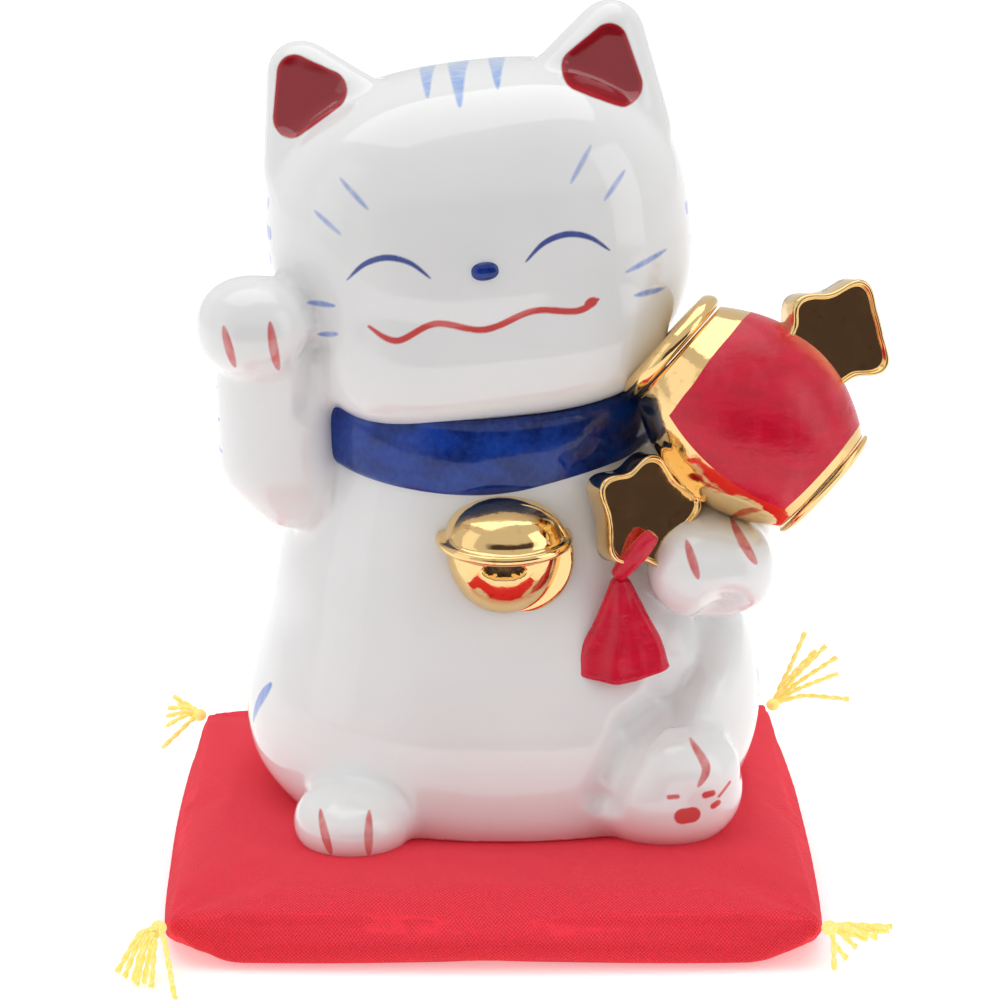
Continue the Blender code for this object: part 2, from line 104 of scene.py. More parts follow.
RAISED_LIMB = (
    ((-32.4, -10.0, 62.0), 7.9), ((-32.6, -11.5, 76.0), 7.9),
    ((-29.8, -8.6, 57.4), 6.8), ((-28.0, -5.0, 61.0), 6.4),
)
RAISED_PAW = ((-34.4, -16.4, 82.0), (8.2, 8.8, 7.1))
HOLDING_LIMB = (((24.0, -4.0, 56.0), 8.0), ((31.0, -10.0, 50.0), 8.2), ((30.0, -17.0, 48.0), 7.8))
HOLDING_PAW = ((29.8, -19.5, 47.9), (9.1, 8.2, 7.7))
# Grooves pressed in the front along a line: its ends in X and Z, its half-width and its depth.
GROOVES = (
    ((32.0, 43.0), (29.0, 35.0), 5.5, 2.8),
    ((29.0, 35.0), (24.4, 29.0), 4.8, 3.0),
    ((24.4, 29.0), (18.4, 25.4), 3.8, 2.4),
    ((18.4, 25.4), (14.6, 16.0), 3.6, 1.8),
    ((-26.0, 79.0), (-27.0, 70.0), 3.0, 0.8),
)
# The painted hollow of an ear: the corners of a triangle in the head's X and Z, and its rounding.
EAR_PATCH = ((21.6, 25.8), (17.0, 23.1), (22.9, 19.9))
EAR_PATCH_SHIFTS = {-1: (1.1, 0.9), 1: (0.3, -0.4)}
EAR_PATCH_ROUND = 2.6
EAR_HOLLOW_DEPTH = 0.95

# The brush: how far a stroke is looked for, and how soft the edges of each kind of paint are.
PAINT_REACH = 1.5
WATERY_EDGE = 0.3
CRISP_EDGE = 0.16
EAR_EDGE = 0.2
EAR_RIM = (-0.25, 0.35)  # its middle and its width, from the hollow's edge

# The collar, a flat strap whose height and level change round the neck.
COLLAR_CENTRE = (-3.0, 2.0)
COLLAR_RING = (24.8, 19.4)
COLLAR_THICKNESS = 5.0
COLLAR_FRONT = (63.3, 5.9)  # level and half-height
COLLAR_SIDE = (69.4, 3.8)
COLLAR_STEPS = (160, 28)  # round the neck, and round the strap
GLAZE_THINS = 0.72  # how far down the strap's section its glaze starts to thin

# The bell.
BELL_CENTRE = (0.6, -20.5, 49.6)
BELL_PITCH = 8.0
BELL_DEPTH = 0.92
BELL_DOME = (8.3, 8.6)  # radius and top
BELL_BOWL = (8.3, 7.9)
BELL_BRIM = (9.7, 0.75, 2.9)  # radius, half-height and level
BELL_SLOT = (2.8, 0.9, 0.9)  # half-width, half-height and level
BELL_STEPS = 256
BELL_BOWL_STEPS = 64  # fine enough for the slot's edge
BELL_BACK_AT = (1.6, -1.5, 0.2)
BELL_BACK = ((0.05, -0.8), (7.4, -0.8), (7.95, -0.55), (8.2, 0.0), (7.95, 0.55), (7.4, 0.8), (0.05, 0.8))

NOSE = ((0.8, -24.4, -1.0), (2.05, 1.2, 1.4))

# The mallet.
MALLET_CENTRE = (35.0, -17.4, 69.2)
MALLET_TILT = 40.5
MALLET_TURN = -12.0
BARREL_HALF = 13.4
BARREL_END = 8.8
BARREL_BULGE = 4.8
ENAMEL_ENDS = (-9.2, 12.0)
ENAMEL_SKEW = (-2.0, 0.6)  # how far its ends lean along the drum, from its inner end to its outer
ENAMEL_BELOW = 23.0  # degrees round from the front to the enamel's lower edge
ENAMEL_ABOVE = 150.0  # degrees round from the front to its upper edge
ENAMEL_RINGS = (10, 54)
DRUM_STEPS = (60, 120)  # along it, and round it
RIM_PROFILE = (
    (0.3, 8.5), (0.5, 9.0), (0.9, 9.3), (1.4, 9.35), (1.9, 9.15), (2.3, 8.85), (2.65, 8.5),
    (2.85, 8.1), (2.9, 7.6), (2.8, 7.0), (2.6, 6.4),
)
RIM_SCALES = {-1: (1.0, 1.0), 1: (0.5, 0.97)}  # of its reach and its radius
HANDLE_ENDS = {
    "upper": ((47.0, -15.4, 80.6), (142, 64, -38, -110, -170), 14.0),
    "lower": ((19.8, -20.4, 56.2), (144, 80, 6, -71, -129), 20.0),
}
HANDLE_LEAN = 9.0
HANDLE_RADIUS = 6.0
LOBE_HEIGHT = 2.3
LOBE_WIDTH = 22.0
PLATE_STEPS = 144
# From the back of a handle plate to the middle of its dished face: (share of the outline, depth).
PLATE_PROFILE = (
    (0.9, 3.0), (0.98, 2.8), (1.0, 2.4), (0.985, 0.0), (1.0, -2.3), (0.99, -2.75),
    (0.965, -3.0), (0.93, -3.0), (0.905, -2.8), (0.89, -2.45), (0.88, -2.3),
    (0.87, -2.25), (0.86, -2.25), (0.84, -2.25), (0.5, -2.25), (0.15, -2.25),
)

STRAP = ((21.3, -25.2, 54.2), (19.1, -24.8, 51.3), (16.5, -23.6, 47.8))
SKIRT_TOP = (16.9, -22.2, 47.4)
SKIRT_HEM = (17.1, -23.0, 32.5)
SKIRT_WIDTHS = (1.0, 7.7)
SKIRT_DEPTHS = (1.5, 2.9)
SKIRT_CRUMPLE = 0.75
SKIRT_LEAN = 0.25
SKIRT_STEPS = (60, 96)  # down it, and round it

# The cushion.
CUSHION_SIDE = 90.6
CUSHION_CORNERS = {
    (-1, -1): (-45.9, -51.5),
    (1, -1): (44.3, -51.5),
    (-1, 1): (-48.2, 38.6),
    (1, 1): (44.2, 44.0),
}
CUSHION_TOP = 8.9
SEAM_HEIGHT = 6.3
CAGE_STEPS = 44
CAGE_SQUARENESS = 60
CAGE_CORNER = 9.0  # how far from a corner the panels come together
CAGE_BELLY = 1.9
SLACK = (0.5, 0.5, 0.3)  # what the filling makes up at the sides, above and below
CUSHION_BEAD = 1.3
FILL_FRAMES = 20
FILLING = {
    "use_pressure": True, "uniform_pressure_force": 4.0, "quality": 6, "mass": 0.3,
    "tension_stiffness": 30.0, "compression_stiffness": 30.0, "bending_stiffness": 0.6,
}
SWELL = 1.2  # the most that the filling moves the cloth
CROWN = 1.1  # how far the cloth may stand above the cat's seat
CAT_SEAT = ((0.8, 5.5), (37.0, 31.0))  # middle and radii
EDGE_BAND = 3.0
GATHERS = (0.3, 9.0, 13.0)  # at the corners: their depth, reach and pace
PUCKERS = (0.1, 1.9)  # along the seam: their depth and pace
SEAM_WIDTH = 0.35
TABLE_GAP = 0.02
WEAVE_PITCH = 0.53
YARN = 0.43  # the radius of a strand
PLY = 0.26
TWIST = 1.9  # millimetres for each half-turn
# Each corner's strands end at these places, as offsets from the cushion's corner.
STRAND_TIPS = {
    (-1, -1): ((-5.5, -2.8, -5.3), (-3.1, -4.8, -5.8), (-2.5, -6.3, -5.9), (-0.4, -7.3, -5.9),
               (3.1, -10.8, -6.0), (-4.4, -3.9, -5.7), (-1.6, -5.6, -5.9)),
    (1, -1): ((8.4, -0.4, 0.3), (8.0, 0.2, -0.6), (6.4, -0.6, -1.2), (3.6, -0.6, -2.6), (2.3, -1.2, -4.0),
              (0.6, -1.8, -5.3), (5.2, -0.2, -1.6)),
    (-1, 1): ((-4.4, 2.4, 2.4), (-5.2, 1.2, 0.8), (-5.4, 0.6, -0.4), (-5.4, -0.2, -1.8), (-5.8, -3.4, -4.4),
              (-3.6, 1.6, 1.4)),
    (1, 1): ((5.2, 2.4, 11.6), (8.6, 2.0, 9.4), (10.4, 1.6, 7.6), (10.6, 1.0, 5.0), (12.4, 0.0, 0.9),
             (7.0, 2.2, 8.6)),
}

# The set: the soft boxes as (name, place, size, power) in metres and watts, and the white room.
SOFT_BOXES = (
    ("top_box", (-0.05, 0.1, 0.72), (0.8, 0.55), 1.7),
    ("left_box", (-0.7, -0.3, 0.35), (0.4, 0.7), 0.4),
    ("right_box", (0.7, -0.3, 0.35), (0.4, 0.7), 0.9),
)
LIGHTS_AIM = (0.0, 0.0, 0.06)
FLOOR_CORNERS = ((-4.0, -0.26, 0.0), (4.0, -0.26, 0.0), (4.0, 6.0, 0.0), (-4.0, 6.0, 0.0))
FLOOR_GLOW = 0.33
ROOM_STRENGTH = 0.72
ROOM_WHITE = (1.0, 1.0, 1.0)
ROOM_DARK = (0.1, 0.075, 0.08)  # what the gilding mirrors from beside the camera
DARK_TOWARD = (0.26, -0.96, 0.05)
DARK_EDGE = (0.6, 0.8)  # where the dark zone begins and is full, as cosines from its middle
DARK_HEIGHT = (0.22, 0.36)  # and where it fades out upwards

# The colours of clay, glazes, enamels, gold and cloth, in linear light, and some painted light and shade.
CLAY = (0.825, 0.83, 0.828)
BISQUE = ((0.78, 0.74, 0.68), (0.86, 0.83, 0.78))
COBALT_DEEP = (0.002, 0.011, 0.12)
COBALT_POOL = (0.007, 0.042, 0.32)
COBALT_GRAIN = (0.045, 0.15, 0.5)
COBALT_EDGE = (0.2, 0.31, 0.66)
COBALT_DARK = (0.015, 0.05, 0.3)
COBALT_PALE = (0.09, 0.21, 0.66)
COBALT_SKY = (0.14, 0.33, 0.78)
CLAW_RED = (0.64, 0.05, 0.045)
EAR_RED = (0.3, 0.008, 0.016)
EAR_RIM_RED = (0.48, 0.012, 0.02)
GOLD = (0.87, 0.6, 0.27)
GOLD_WORN = (0.62, 0.36, 0.13)
# Painted shade: the bell's slot is coloured dark, as if in the shadow inside the bell.
SLOT_SHADE = ((0.02, 0.01, 0.005), (0.17, 0.08, 0.02))
ENAMEL = (0.66, 0.004, 0.034)
ENAMEL_STREAK = (0.54, 0.004, 0.026)
ENAMEL_THIN = (0.82, 0.1, 0.15)
CLOTH = (0.96, 0.025, 0.06)
# Painted light on the weave: painted shade in its hollows, and a painted highlight on its thread crowns.
CLOTH_HOLLOW_SHADE = (0.86, 0.006, 0.016)
CLOTH_CROWN_HIGHLIGHT = (1.0, 0.075, 0.12)
# Painted shade: the colour that the cushion's upright sides are darkened towards, as if less light fell on
# them.
CLOTH_SIDE_SHADE = (0.6, 0.004, 0.01)
# Painted light: a faint red glow that the cloth gives off, though it is no lamp.
CLOTH_PAINTED_GLOW = (1.0, 0.02, 0.06, 1.0)
CLOTH_SHEEN = (1.0, 0.3, 0.32, 1.0)
YARN_FIBRES = ((1.0, 0.8, 0.12), (1.0, 0.92, 0.44))
# Painted light: a faint yellow glow that the yarn gives off, though it is no lamp.
YARN_PAINTED_GLOW = (1.0, 0.78, 0.14, 1.0)
YARN_SHEEN = (1.0, 0.95, 0.6, 1.0)
PAPER = ((0.93, 0.93, 0.93), (0.95, 0.95, 0.95))


def mm(point):
    return Vector(point) / METRE


def unit(share):
    return np.clip(share, 0.0, 1.0)


def at_point(point):
    return Matrix.Translation(mm(point))


def rotation(degrees, axis):
    return Matrix.Rotation(math.radians(degrees), 4, axis)


def mix(low, high, share):
    return low + (high - low) * share


def new_object(name, data):
    obj = bpy.data.objects.new(name, data)
    bpy.context.scene.collection.objects.link(obj)
    return obj


def add_object(name, mesh, *finishes):
    obj = new_object(name, mesh)
    for finish in finishes:
        mesh.materials.append(finish)
    mesh.shade_smooth()
    return obj


def add_piece(name, mesh, finishes, slot, *nodes, body="figurine"):
    """A visible piece: the body it moves with, what it stands for, and a slot for its finish, which is not
    used.
    """
    obj = add_object(name, mesh, *finishes)
    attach(obj, body)
    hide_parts(*nodes)
    return obj


def form_of(mesh):
    form = bmesh.new()
    form.from_mesh(mesh)
    return form


def write_back(form, mesh):
    form.to_mesh(mesh)
    form.free()


def mesh_of(name, form):
    mesh = bpy.data.meshes.new(name)
    write_back(form, mesh)
    return mesh


def add_remesh(obj, size):
    remesh = obj.modifiers.new("Even", "REMESH")
    remesh.mode = "VOXEL"
    remesh.voxel_size = size / METRE


def baked_copy(obj):
    bpy.context.view_layer.update()
    graph = bpy.context.evaluated_depsgraph_get()
    return bpy.data.meshes.new_from_object(obj.evaluated_get(graph))


def baked(obj):
    mesh = baked_copy(obj)
    bpy.data.objects.remove(obj)
    return mesh


def turns(steps):
    """Even steps round a circle, as angles."""
    return [math.tau * i / steps for i in range(steps)]


def circle(radius, height, steps):
    return [(radius * math.cos(turn), radius * math.sin(turn), height) for turn in turns(steps)]


def loft(name, rings, wrap=False):
    """A closed mesh through rings of points. Its ends are capped, unless the rings wrap round."""
    count = len(rings[0])
    verts = [mm(point) for ring in rings for point in ring]
    faces = []
    for i in range(len(rings) if wrap else len(rings) - 1):
        j = (i + 1) % len(rings)
        for k in range(count):
            m = (k + 1) % count
            faces.append((i * count + k, i * count + m, j * count + m, j * count + k))
    if not wrap:
        faces.append(tuple(range(count)))
        faces.append(tuple(range((len(rings) - 1) * count, len(rings) * count)))
    mesh = bpy.data.meshes.new(name)
    mesh.from_pydata(verts, [], faces)
    form = form_of(mesh)
    bmesh.ops.recalc_face_normals(form, faces=form.faces)
    write_back(form, mesh)
    return mesh


def vectors_of(items, key):
    flat = np.empty(len(items) * 3, dtype=np.float32)
    items.foreach_get(key, flat)
    return flat.reshape(-1, 3).astype(float)


def points_of(mesh):
    return vectors_of(mesh.vertices, "co") * METRE


def normals_of(mesh):
    return vectors_of(mesh.vertex_normals, "vector")


def set_points(mesh, points):
    mesh.vertices.foreach_set("co", (points / METRE).astype(np.float32).ravel())
    mesh.update()


# Materials


class Recipe:
    """A tree of nodes. An input is given a value, or another node's output."""

    def __init__(self, made, shader="Principled BSDF"):
        made.use_nodes = True
        self.made = made
        self.tree = made.node_tree
        self.shader = self.tree.nodes[shader]

    def feed(self, node, key, value):
        if isinstance(value, bpy.types.NodeSocket):
            self.tree.links.new(value, node.inputs[key])
        else:
            node.inputs[key].default_value = value

    def add(self, kind, inputs=None, **settings):
        node = self.tree.nodes.new("ShaderNode" + kind)
        for key, value in settings.items():
            setattr(node, key, value)
        for key, value in (inputs or {}).items():
            self.feed(node, key, value)
        return node

    def math(self, operation, first, second=0.0):
        return self.add("Math", {0: first, 1: second}, operation=operation).outputs[0]

    def times(self, first, second):
        return self.math("MULTIPLY", first, second)

    def place(self):
        return self.add("TexCoord").outputs["Object"]

    def cloudy(self, scale, detail=3.0, stretch=None):
        """Noise at a scale per metre, stretched along some axes if asked."""
        vector = self.place()
        if stretch:
            vector = self.add("Mapping", {"Vector": vector, "Scale": stretch}).outputs[0]
        return self.add("TexNoise", {"Vector": vector, "Scale": scale, "Detail": detail}).outputs["Fac"]

    def spread(self, value, low, high, to_low=0.0, to_high=1.0):
        inputs = {"Value": value, "From Min": low, "From Max": high, "To Min": to_low, "To Max": to_high}
        return self.add("MapRange", inputs, clamp=True).outputs[0]

    def patches(self, limits, *noise):
        return self.spread(self.cloudy(*noise), *limits)

    def blend(self, share, *colours):
        first, second = ((*c, 1.0) if isinstance(c, tuple) else c for c in colours)
        return self.add("Mix", {0: share, 6: first, 7: second}, data_type="RGBA").outputs[2]

    def bump(self, height, strength, distance):
        inputs = {"Height": height, "Strength": strength, "Distance": distance / METRE}
        self.feed(self.shader, "Normal", self.add("Bump", inputs).outputs[0])

    def shade(self, **values):
        for key, value in values.items():
            self.feed(self.shader, key.replace("_", " "), value)


def recipe(name):
    return Recipe(bpy.data.materials.new(name))


def porcelain_glaze():
    """White glaze over clay, with brush strokes that the paint attribute places."""
    mat = recipe("porcelain_glaze")
    clay = mat.blend(mat.patches((0.35, 0.65), 55), CLAY, tuple(c * 1.035 for c in CLAY))
    paint = mat.add("Attribute", attribute_name="paint").outputs
    thinned = mat.patches((0.35, 0.6, 0.3, 0.0), 700, 4.0, (1, 1, 0.35))
    pale = mat.math("SUBTRACT", 1.0, paint["Alpha"])
    lost = mat.times(thinned, mat.spread(pale, 0.05, 0.2))
    strength = mat.times(paint["Alpha"], mat.math("SUBTRACT", 1.0, lost))
    base = mat.blend(strength, clay, paint["Color"])
    gloss = mat.patches((0.3, 0.7, 0.045, 0.085), 260)
    mat.shade(Base_Color=base, Roughness=gloss, IOR=1.5, Coat_Weight=0.35, Coat_Roughness=0.03)
    mat.shade(Subsurface_Weight=0.22, Subsurface_Scale=0.003, Subsurface_Radius=(1.0, 0.95, 0.85))
    mat.bump(mat.cloudy(75, 2.0), 0.5, 0.12)
    return mat.made


def bisque():
    """The unglazed clay that the cat stands on."""
    mat = recipe("bisque")
    mat.shade(Base_Color=mat.blend(mat.patches((0.3, 0.7), 420, 6.0), *BISQUE), Roughness=0.85)
    mat.bump(mat.cloudy(2600, 4.0), 0.5, 0.05)
    return mat.made


def cobalt_glaze(name, pale_edges=True):
    """Blue glaze that pools dark, and breaks pale where the clay's edges are."""
    mat = recipe(name)
    base = mat.blend(mat.patches((0.36, 0.64), 150, 5.0, (1, 1, 1.6)), COBALT_DEEP, COBALT_POOL)
    base = mat.blend(mat.times(mat.patches((0.35, 0.75), 1100, 5.0), 0.22), base, COBALT_GRAIN)
    if pale_edges:
        thin = mat.add("Attribute", attribute_name="thin").outputs["Fac"]
        broken = mat.times(thin, mat.patches((0.25, 0.6, 0.45, 1.0), 420, 4.0))
        base = mat.blend(broken, base, COBALT_EDGE)
    mat.shade(Base_Color=base, Roughness=0.08, IOR=1.42, Coat_Weight=0.12, Coat_Roughness=0.03)
    mat.bump(mat.cloudy(190, 3.0), 0.5, 0.12)
    return mat.made


def gold_lustre():
    """Fired gold: a mirror over glaze that isn't quite even, worn a little in places."""
    mat = recipe("gold_lustre")
    base = mat.blend(mat.patches((0.6, 0.8), 620, 6.0), GOLD, GOLD_WORN)
    gloss = mat.patches((0.35, 0.75, 0.05, 0.16), 350, 4.0)
    mat.shade(Base_Color=base, Roughness=gloss, Metallic=1.0)
    mat.bump(mat.cloudy(260, 3.0), 0.6, 0.17)
    return mat.made


def red_enamel():
    """Red brushed on over the glaze: streaky, with a soft gloss."""
    mat = recipe("brushed_enamel")
    base = mat.blend(mat.patches((0.35, 0.7), 230, 6.0, (1.0, 1.0, 2.4)), ENAMEL, ENAMEL_STREAK)
    thin = mat.patches((0.54, 0.76), 120, 6.0, (2.6, 1.0, 0.7))
    base = mat.blend(mat.times(thin, 0.25), base, ENAMEL_THIN)
    gloss = mat.patches((0.3, 0.7, 0.2, 0.34), 500, 4.0)
    mat.shade(Base_Color=base, Roughness=gloss, IOR=1.45, Specular_IOR_Level=0.45)
    mat.bump(mat.cloudy(420, 5.0, (1.0, 1.0, 2.4)), 0.6, 0.16)
    return mat.made


def woven_cotton():
    """Plain weave. The threads run along the cushion's sides, so each face reads two of X, Y and Z."""
    mat = recipe("woven_cotton")
    spot = mat.add("SeparateXYZ", {0: mat.place()}).outputs
    normal = mat.add("NewGeometry").outputs["Normal"]
    facing = mat.add("SeparateXYZ", {0: normal}).outputs
    wobble = mat.times(mat.cloudy(130, 2.0), 0.0011)
    pace = math.tau * METRE / WEAVE_PITCH
    waves = [mat.math("SINE", mat.times(mat.math("ADD", axis, wobble), pace)) for axis in spot]
    parts = []
    for i, j, k in ((0, 1, 2), (0, 2, 1), (1, 2, 0)):
        share = mat.spread(mat.times(facing[k], facing[k]), 0.4, 0.6)
        parts.append(mat.times(mat.times(waves[i], waves[j]), share))
    weave = mat.math("ADD", mat.math("ADD", parts[0], parts[1]), parts[2])
    thread = mat.spread(weave, -1.0, 1.0)
    # Painted light on the weave: darker in its hollows as painted shade, lighter on the thread crowns as a
    # painted highlight.
    base = mat.blend(thread, CLOTH_HOLLOW_SHADE, CLOTH_CROWN_HIGHLIGHT)
    base = mat.blend(mat.times(mat.patches((0.3, 0.7), 45, 4.0), 0.15), base, CLOTH)
    # Painted shade: the upright sides of the cushion are darkened, as if less light fell on them.
    base = mat.blend(mat.spread(facing[2], 0.2, 0.8, 0.35, 0.0), base, CLOTH_SIDE_SHADE)
    mat.shade(Base_Color=base, Roughness=0.85, IOR=1.35, Sheen_Weight=0.22, Sheen_Roughness=0.5)
    # Painted light: a faint emission brightens the cloth.
    mat.shade(Sheen_Tint=CLOTH_SHEEN, Emission_Color=CLOTH_PAINTED_GLOW, Emission_Strength=0.1)
    fuzz = mat.times(mat.cloudy(5200, 3.0), 0.5)
    mat.bump(mat.math("ADD", thread, fuzz), 1.0, 0.2)
    return mat.made


def yellow_yarn():
    mat = recipe("yellow_yarn")
    base = mat.blend(mat.patches((0.3, 0.7), 2400, 5.0, (1.0, 1.0, 0.4)), *YARN_FIBRES)
    mat.shade(Base_Color=base, Roughness=0.88, Sheen_Weight=0.5, Sheen_Tint=YARN_SHEEN)
    # Painted light: a faint emission brightens the yarn.
    mat.shade(Emission_Color=YARN_PAINTED_GLOW, Emission_Strength=0.14)
    mat.bump(mat.cloudy(5200, 3.0), 0.8, 0.06)
    return mat.made


# Painted shade: the material of the bell's slot, dark as if in shadow.
def slot_painted_shade():
    mat = recipe("slot_painted_shade")
    base = mat.blend(mat.patches((0.35, 0.7), 1500, 5.0), *SLOT_SHADE)
    mat.shade(Base_Color=base, Roughness=0.5, Metallic=0.4)
    mat.bump(mat.cloudy(1800, 4.0), 0.6, 0.1)
    return mat.made


def floor_paper():
    mat = recipe("floor_paper")
    mat.shade(Base_Color=mat.blend(mat.patches((0.3, 0.7), 4), *PAPER), Roughness=0.9)
    mat.shade(Emission_Color=(*ROOM_WHITE, 1.0), Emission_Strength=FLOOR_GLOW)
    return mat.made


# The porcelain


def add_blob(form, centre, radii, squareness=2.0, at=None):
    """A superellipsoid: 2 is an ellipsoid, and more is boxier."""
    made = bmesh.ops.create_uvsphere(form, u_segments=72, v_segments=48, radius=1.0)
    for vert in made["verts"]:
        size = sum(abs(c) ** squareness for c in vert.co) ** (1.0 / squareness)
        vert.co = mm(Vector(c / size * r for c, r in zip(vert.co, radii)) + Vector(centre))
    if at:
        bmesh.ops.transform(form, matrix=at, verts=made["verts"])


def add_hull(form, balls, at=None):
    """The convex hull of some balls."""
    shell = bmesh.new()
    for centre, radius in balls:
        spot = at_point(centre)
        bmesh.ops.create_icosphere(shell, subdivisions=4, radius=radius / METRE, matrix=spot)
    bmesh.ops.delete(shell, geom=shell.edges[:], context="EDGES_FACES")
    bmesh.ops.convex_hull(shell, input=shell.verts, use_existing_faces=False)
    bmesh.ops.delete(shell, geom=[vert for vert in shell.verts if not vert.link_faces], context="VERTS")
    if at:
        bmesh.ops.transform(shell, matrix=at, verts=shell.verts)
    form.from_mesh(mesh_of("hull", shell))


def head_place():
    return at_point(HEAD_CENTRE) @ rotation(-HEAD_ROLL, "Y")


def in_head(points):
    """Points in the head's own axes, in millimetres."""
    turn = np.array(rotation(-HEAD_ROLL, "Y").to_3x3())
    return (points - np.array(HEAD_CENTRE)) @ turn


def boxy(value, power):
    """A sine or cosine that is raised to a power, with its sign kept."""
    return math.copysign(abs(value) ** power, value)


def trunk_mesh():
    """The trunk without its legs, through its sections."""
    rings = []
    for height, middle, half_width, front, back in spline(TRUNK, 6):
        ring = []
        for turn in turns(TRUNK_STEPS):
            across = boxy(math.cos(turn), 2 / TRUNK_SQUARENESS)
            along = boxy(math.sin(turn), 2 / TRUNK_SQUARENESS)
            reach = back - TRUNK_SPINE if along > 0 else TRUNK_SPINE - front
            ring.append((middle + half_width * across, TRUNK_SPINE + reach * along, height))
        rings.append(ring)
    return loft("trunk", rings)


def clay_mesh():
    """The whole cat as one blended form."""
    form = form_of(trunk_mesh())
    for centre, radii in LEGS:
        add_blob(form, centre, radii)
    add_blob(form, (0, 0, 0), HEAD_RADII, HEAD_SQUARENESS, head_place())
    add_blob(form, *MUZZLE, MUZZLE_SQUARENESS, head_place())
    for side in (-1, 1):
        balls = [((x * side, y, z), radius) for (x, y, z), radius in EAR_BALLS]
        add_hull(form, balls, head_place())
    for limb, paw in ((RAISED_LIMB, RAISED_PAW), (HOLDING_LIMB, HOLDING_PAW)):
        add_hull(form, limb)
        add_blob(form, *paw, squareness=2.2)
    obj = add_object("clay", mesh_of("clay", form))
    add_remesh(obj, SKIN_BEAD)
    smooth = obj.modifiers.new("Soften", "SMOOTH")
    smooth.factor = 0.5
    smooth.iterations = SKIN_ROUNDS
    return baked(obj)


def press_grooves(mesh):
    points, normals = points_of(mesh), normals_of(mesh)
    flat = points[:, (0, 2)]
    push = np.zeros(len(points))
    for start, end, radius, depth in GROOVES:
        start, end = np.array(start), np.array(end)
        along = end - start
        share = unit((flat - start) @ along / (along @ along))
        away = np.linalg.norm(flat - start - share[:, None] * along, axis=1) / radius
        push = np.maximum(push, depth * unit(1.0 - away**2) ** 2)
    push *= unit(-normals[:, 1] * 2.5)
    set_points(mesh, points - normals * push[:, None])


def outside(flat, corners, rounding):
    """How far each point is outside a rounded polygon, and less than 0 inside it."""
    corners = [np.array(corner) for corner in corners]
    nearest = np.full(len(flat), np.inf)
    inside = np.ones(len(flat), dtype=bool)
    for start, end in zip(corners, corners[1:] + corners[:1]):
        along = end - start
        share = unit((flat - start) @ along / (along @ along))
        nearest = np.minimum(nearest, np.linalg.norm(flat - start - share[:, None] * along, axis=1))
        cross = along[0] * (flat[:, 1] - start[1]) - along[1] * (flat[:, 0] - start[0])
        inside &= cross > 0
    return np.where(inside, -nearest, nearest) - rounding


def ear_gap(points):
    """How far each point is outside the painted hollow of the nearer ear."""
    local = in_head(points)
    gap = np.full(len(points), np.inf)
    for side, (out, up) in EAR_PATCH_SHIFTS.items():
        flat = np.column_stack((local[:, 0] * side - out, local[:, 2] - up))
        gap = np.minimum(gap, outside(flat, EAR_PATCH, EAR_PATCH_ROUND))
    return np.where(local[:, 1] < 1.0, gap, np.inf)


def press_ears(mesh):
    points = points_of(mesh)
    inward = unit(-ear_gap(points) / 2.4)
    push = EAR_HOLLOW_DEPTH * inward * (2.0 - inward)
    set_points(mesh, points + np.outer(push, (0.0, 1.0, 0.0)))


def spline(points, steps=12):
    """A smooth line through some points."""
    points = [np.array(point, dtype=float) for point in points]
    line = []
    for i in range(len(points) - 1):
        before, start, end = points[max(i - 1, 0)], points[i], points[i + 1]
        after = points[min(i + 2, len(points) - 1)]
        for k in range(steps):
            t = k / steps
            line.append(
                0.5 * (2 * start + (end - before) * t + (2 * before - 5 * start + 4 * end - after) * t**2
                       + (3 * start - before - 3 * end + after) * t**3)
            )
    return np.array(line + [points[-1]])


def arc(centre, half_width, rise, tilt):
    """The five points of a closed, smiling eye."""
    turn = Matrix.Rotation(math.radians(tilt), 2)
    shares = ((-1.0, -0.5), (-0.55, 0.22), (0.0, 0.5), (0.55, 0.22), (1.0, -0.5))
    return [Vector(centre) + turn @ Vector((x * half_width, z * rise)) for x, z in shares]


def head_strokes():
    """The eyes, brows, whiskers, cheeks, mouth and forehead."""
    front, top, flank = ("head", 0, 2), ("head", 0, 1), ("head", 1, 2)
    made = []
    for side, tilt in ((-1, -4), (1, -2)):
        made.append((front, -1, arc((side * 12.4, 0.9), 5.8, 3.1, tilt), 0.88, "lens", COBALT_DARK, 0.93))
        for points in (((17.4, 13.5), (14.0, 9.2)), ((21.6, 9.4), (18.3, 6.1))):
            made.append((front, -1, [(side * x, z) for x, z in points], 0.68, "lens", COBALT_PALE, 0.62))
    whiskers = (((-20.6, -3.9), (-24.4, -3.3)), ((-20.8, -7.9), (-23.8, -8.2)),
                ((20.0, -4.4), (26.0, -2.9)), ((20.8, -7.9), (25.2, -8.3)))
    for points in whiskers:
        made.append((front, -1, points, 0.8, "lens", COBALT_PALE, 0.8))
    cheeks = (
        (-1, -7.0, 9.3), (-1, -9.6, 5.4), (-1, -8.0, 1.6),
        (1, -3.0, 5.4), (1, -7.6, 1.0), (1, -6.0, -3.6),
    )
    for side, y, z in cheeks:
        made.append((flank, side, ((y, z), (y + 15.0, z + 0.9)), 1.9, "blunt", COBALT_PALE, 0.85))
    mouth = (
        (-16.2, -7.0), (-12.6, -9.3), (-6.9, -7.5), (-0.3, -9.2), (6.6, -7.5), (12.6, -8.4), (15.7, -7.3),
    )
    made.append((front, -1, mouth, 0.95, "even", CLAW_RED, 0.95))
    made.append((front, -1, ((14.0, -7.9), (15.4, -7.3)), 1.4, "lens", CLAW_RED, 0.95))
    for x, back, tip, width in ((-4.3, 10.0, -13.7, 2.3), (0.2, 12.0, -16.5, 3.1), (5.8, 10.0, -13.7, 2.4)):
        made.append((top, 1, ((x, back), (x * 0.97, tip)), width, "point", COBALT_SKY, 0.8))
    return made


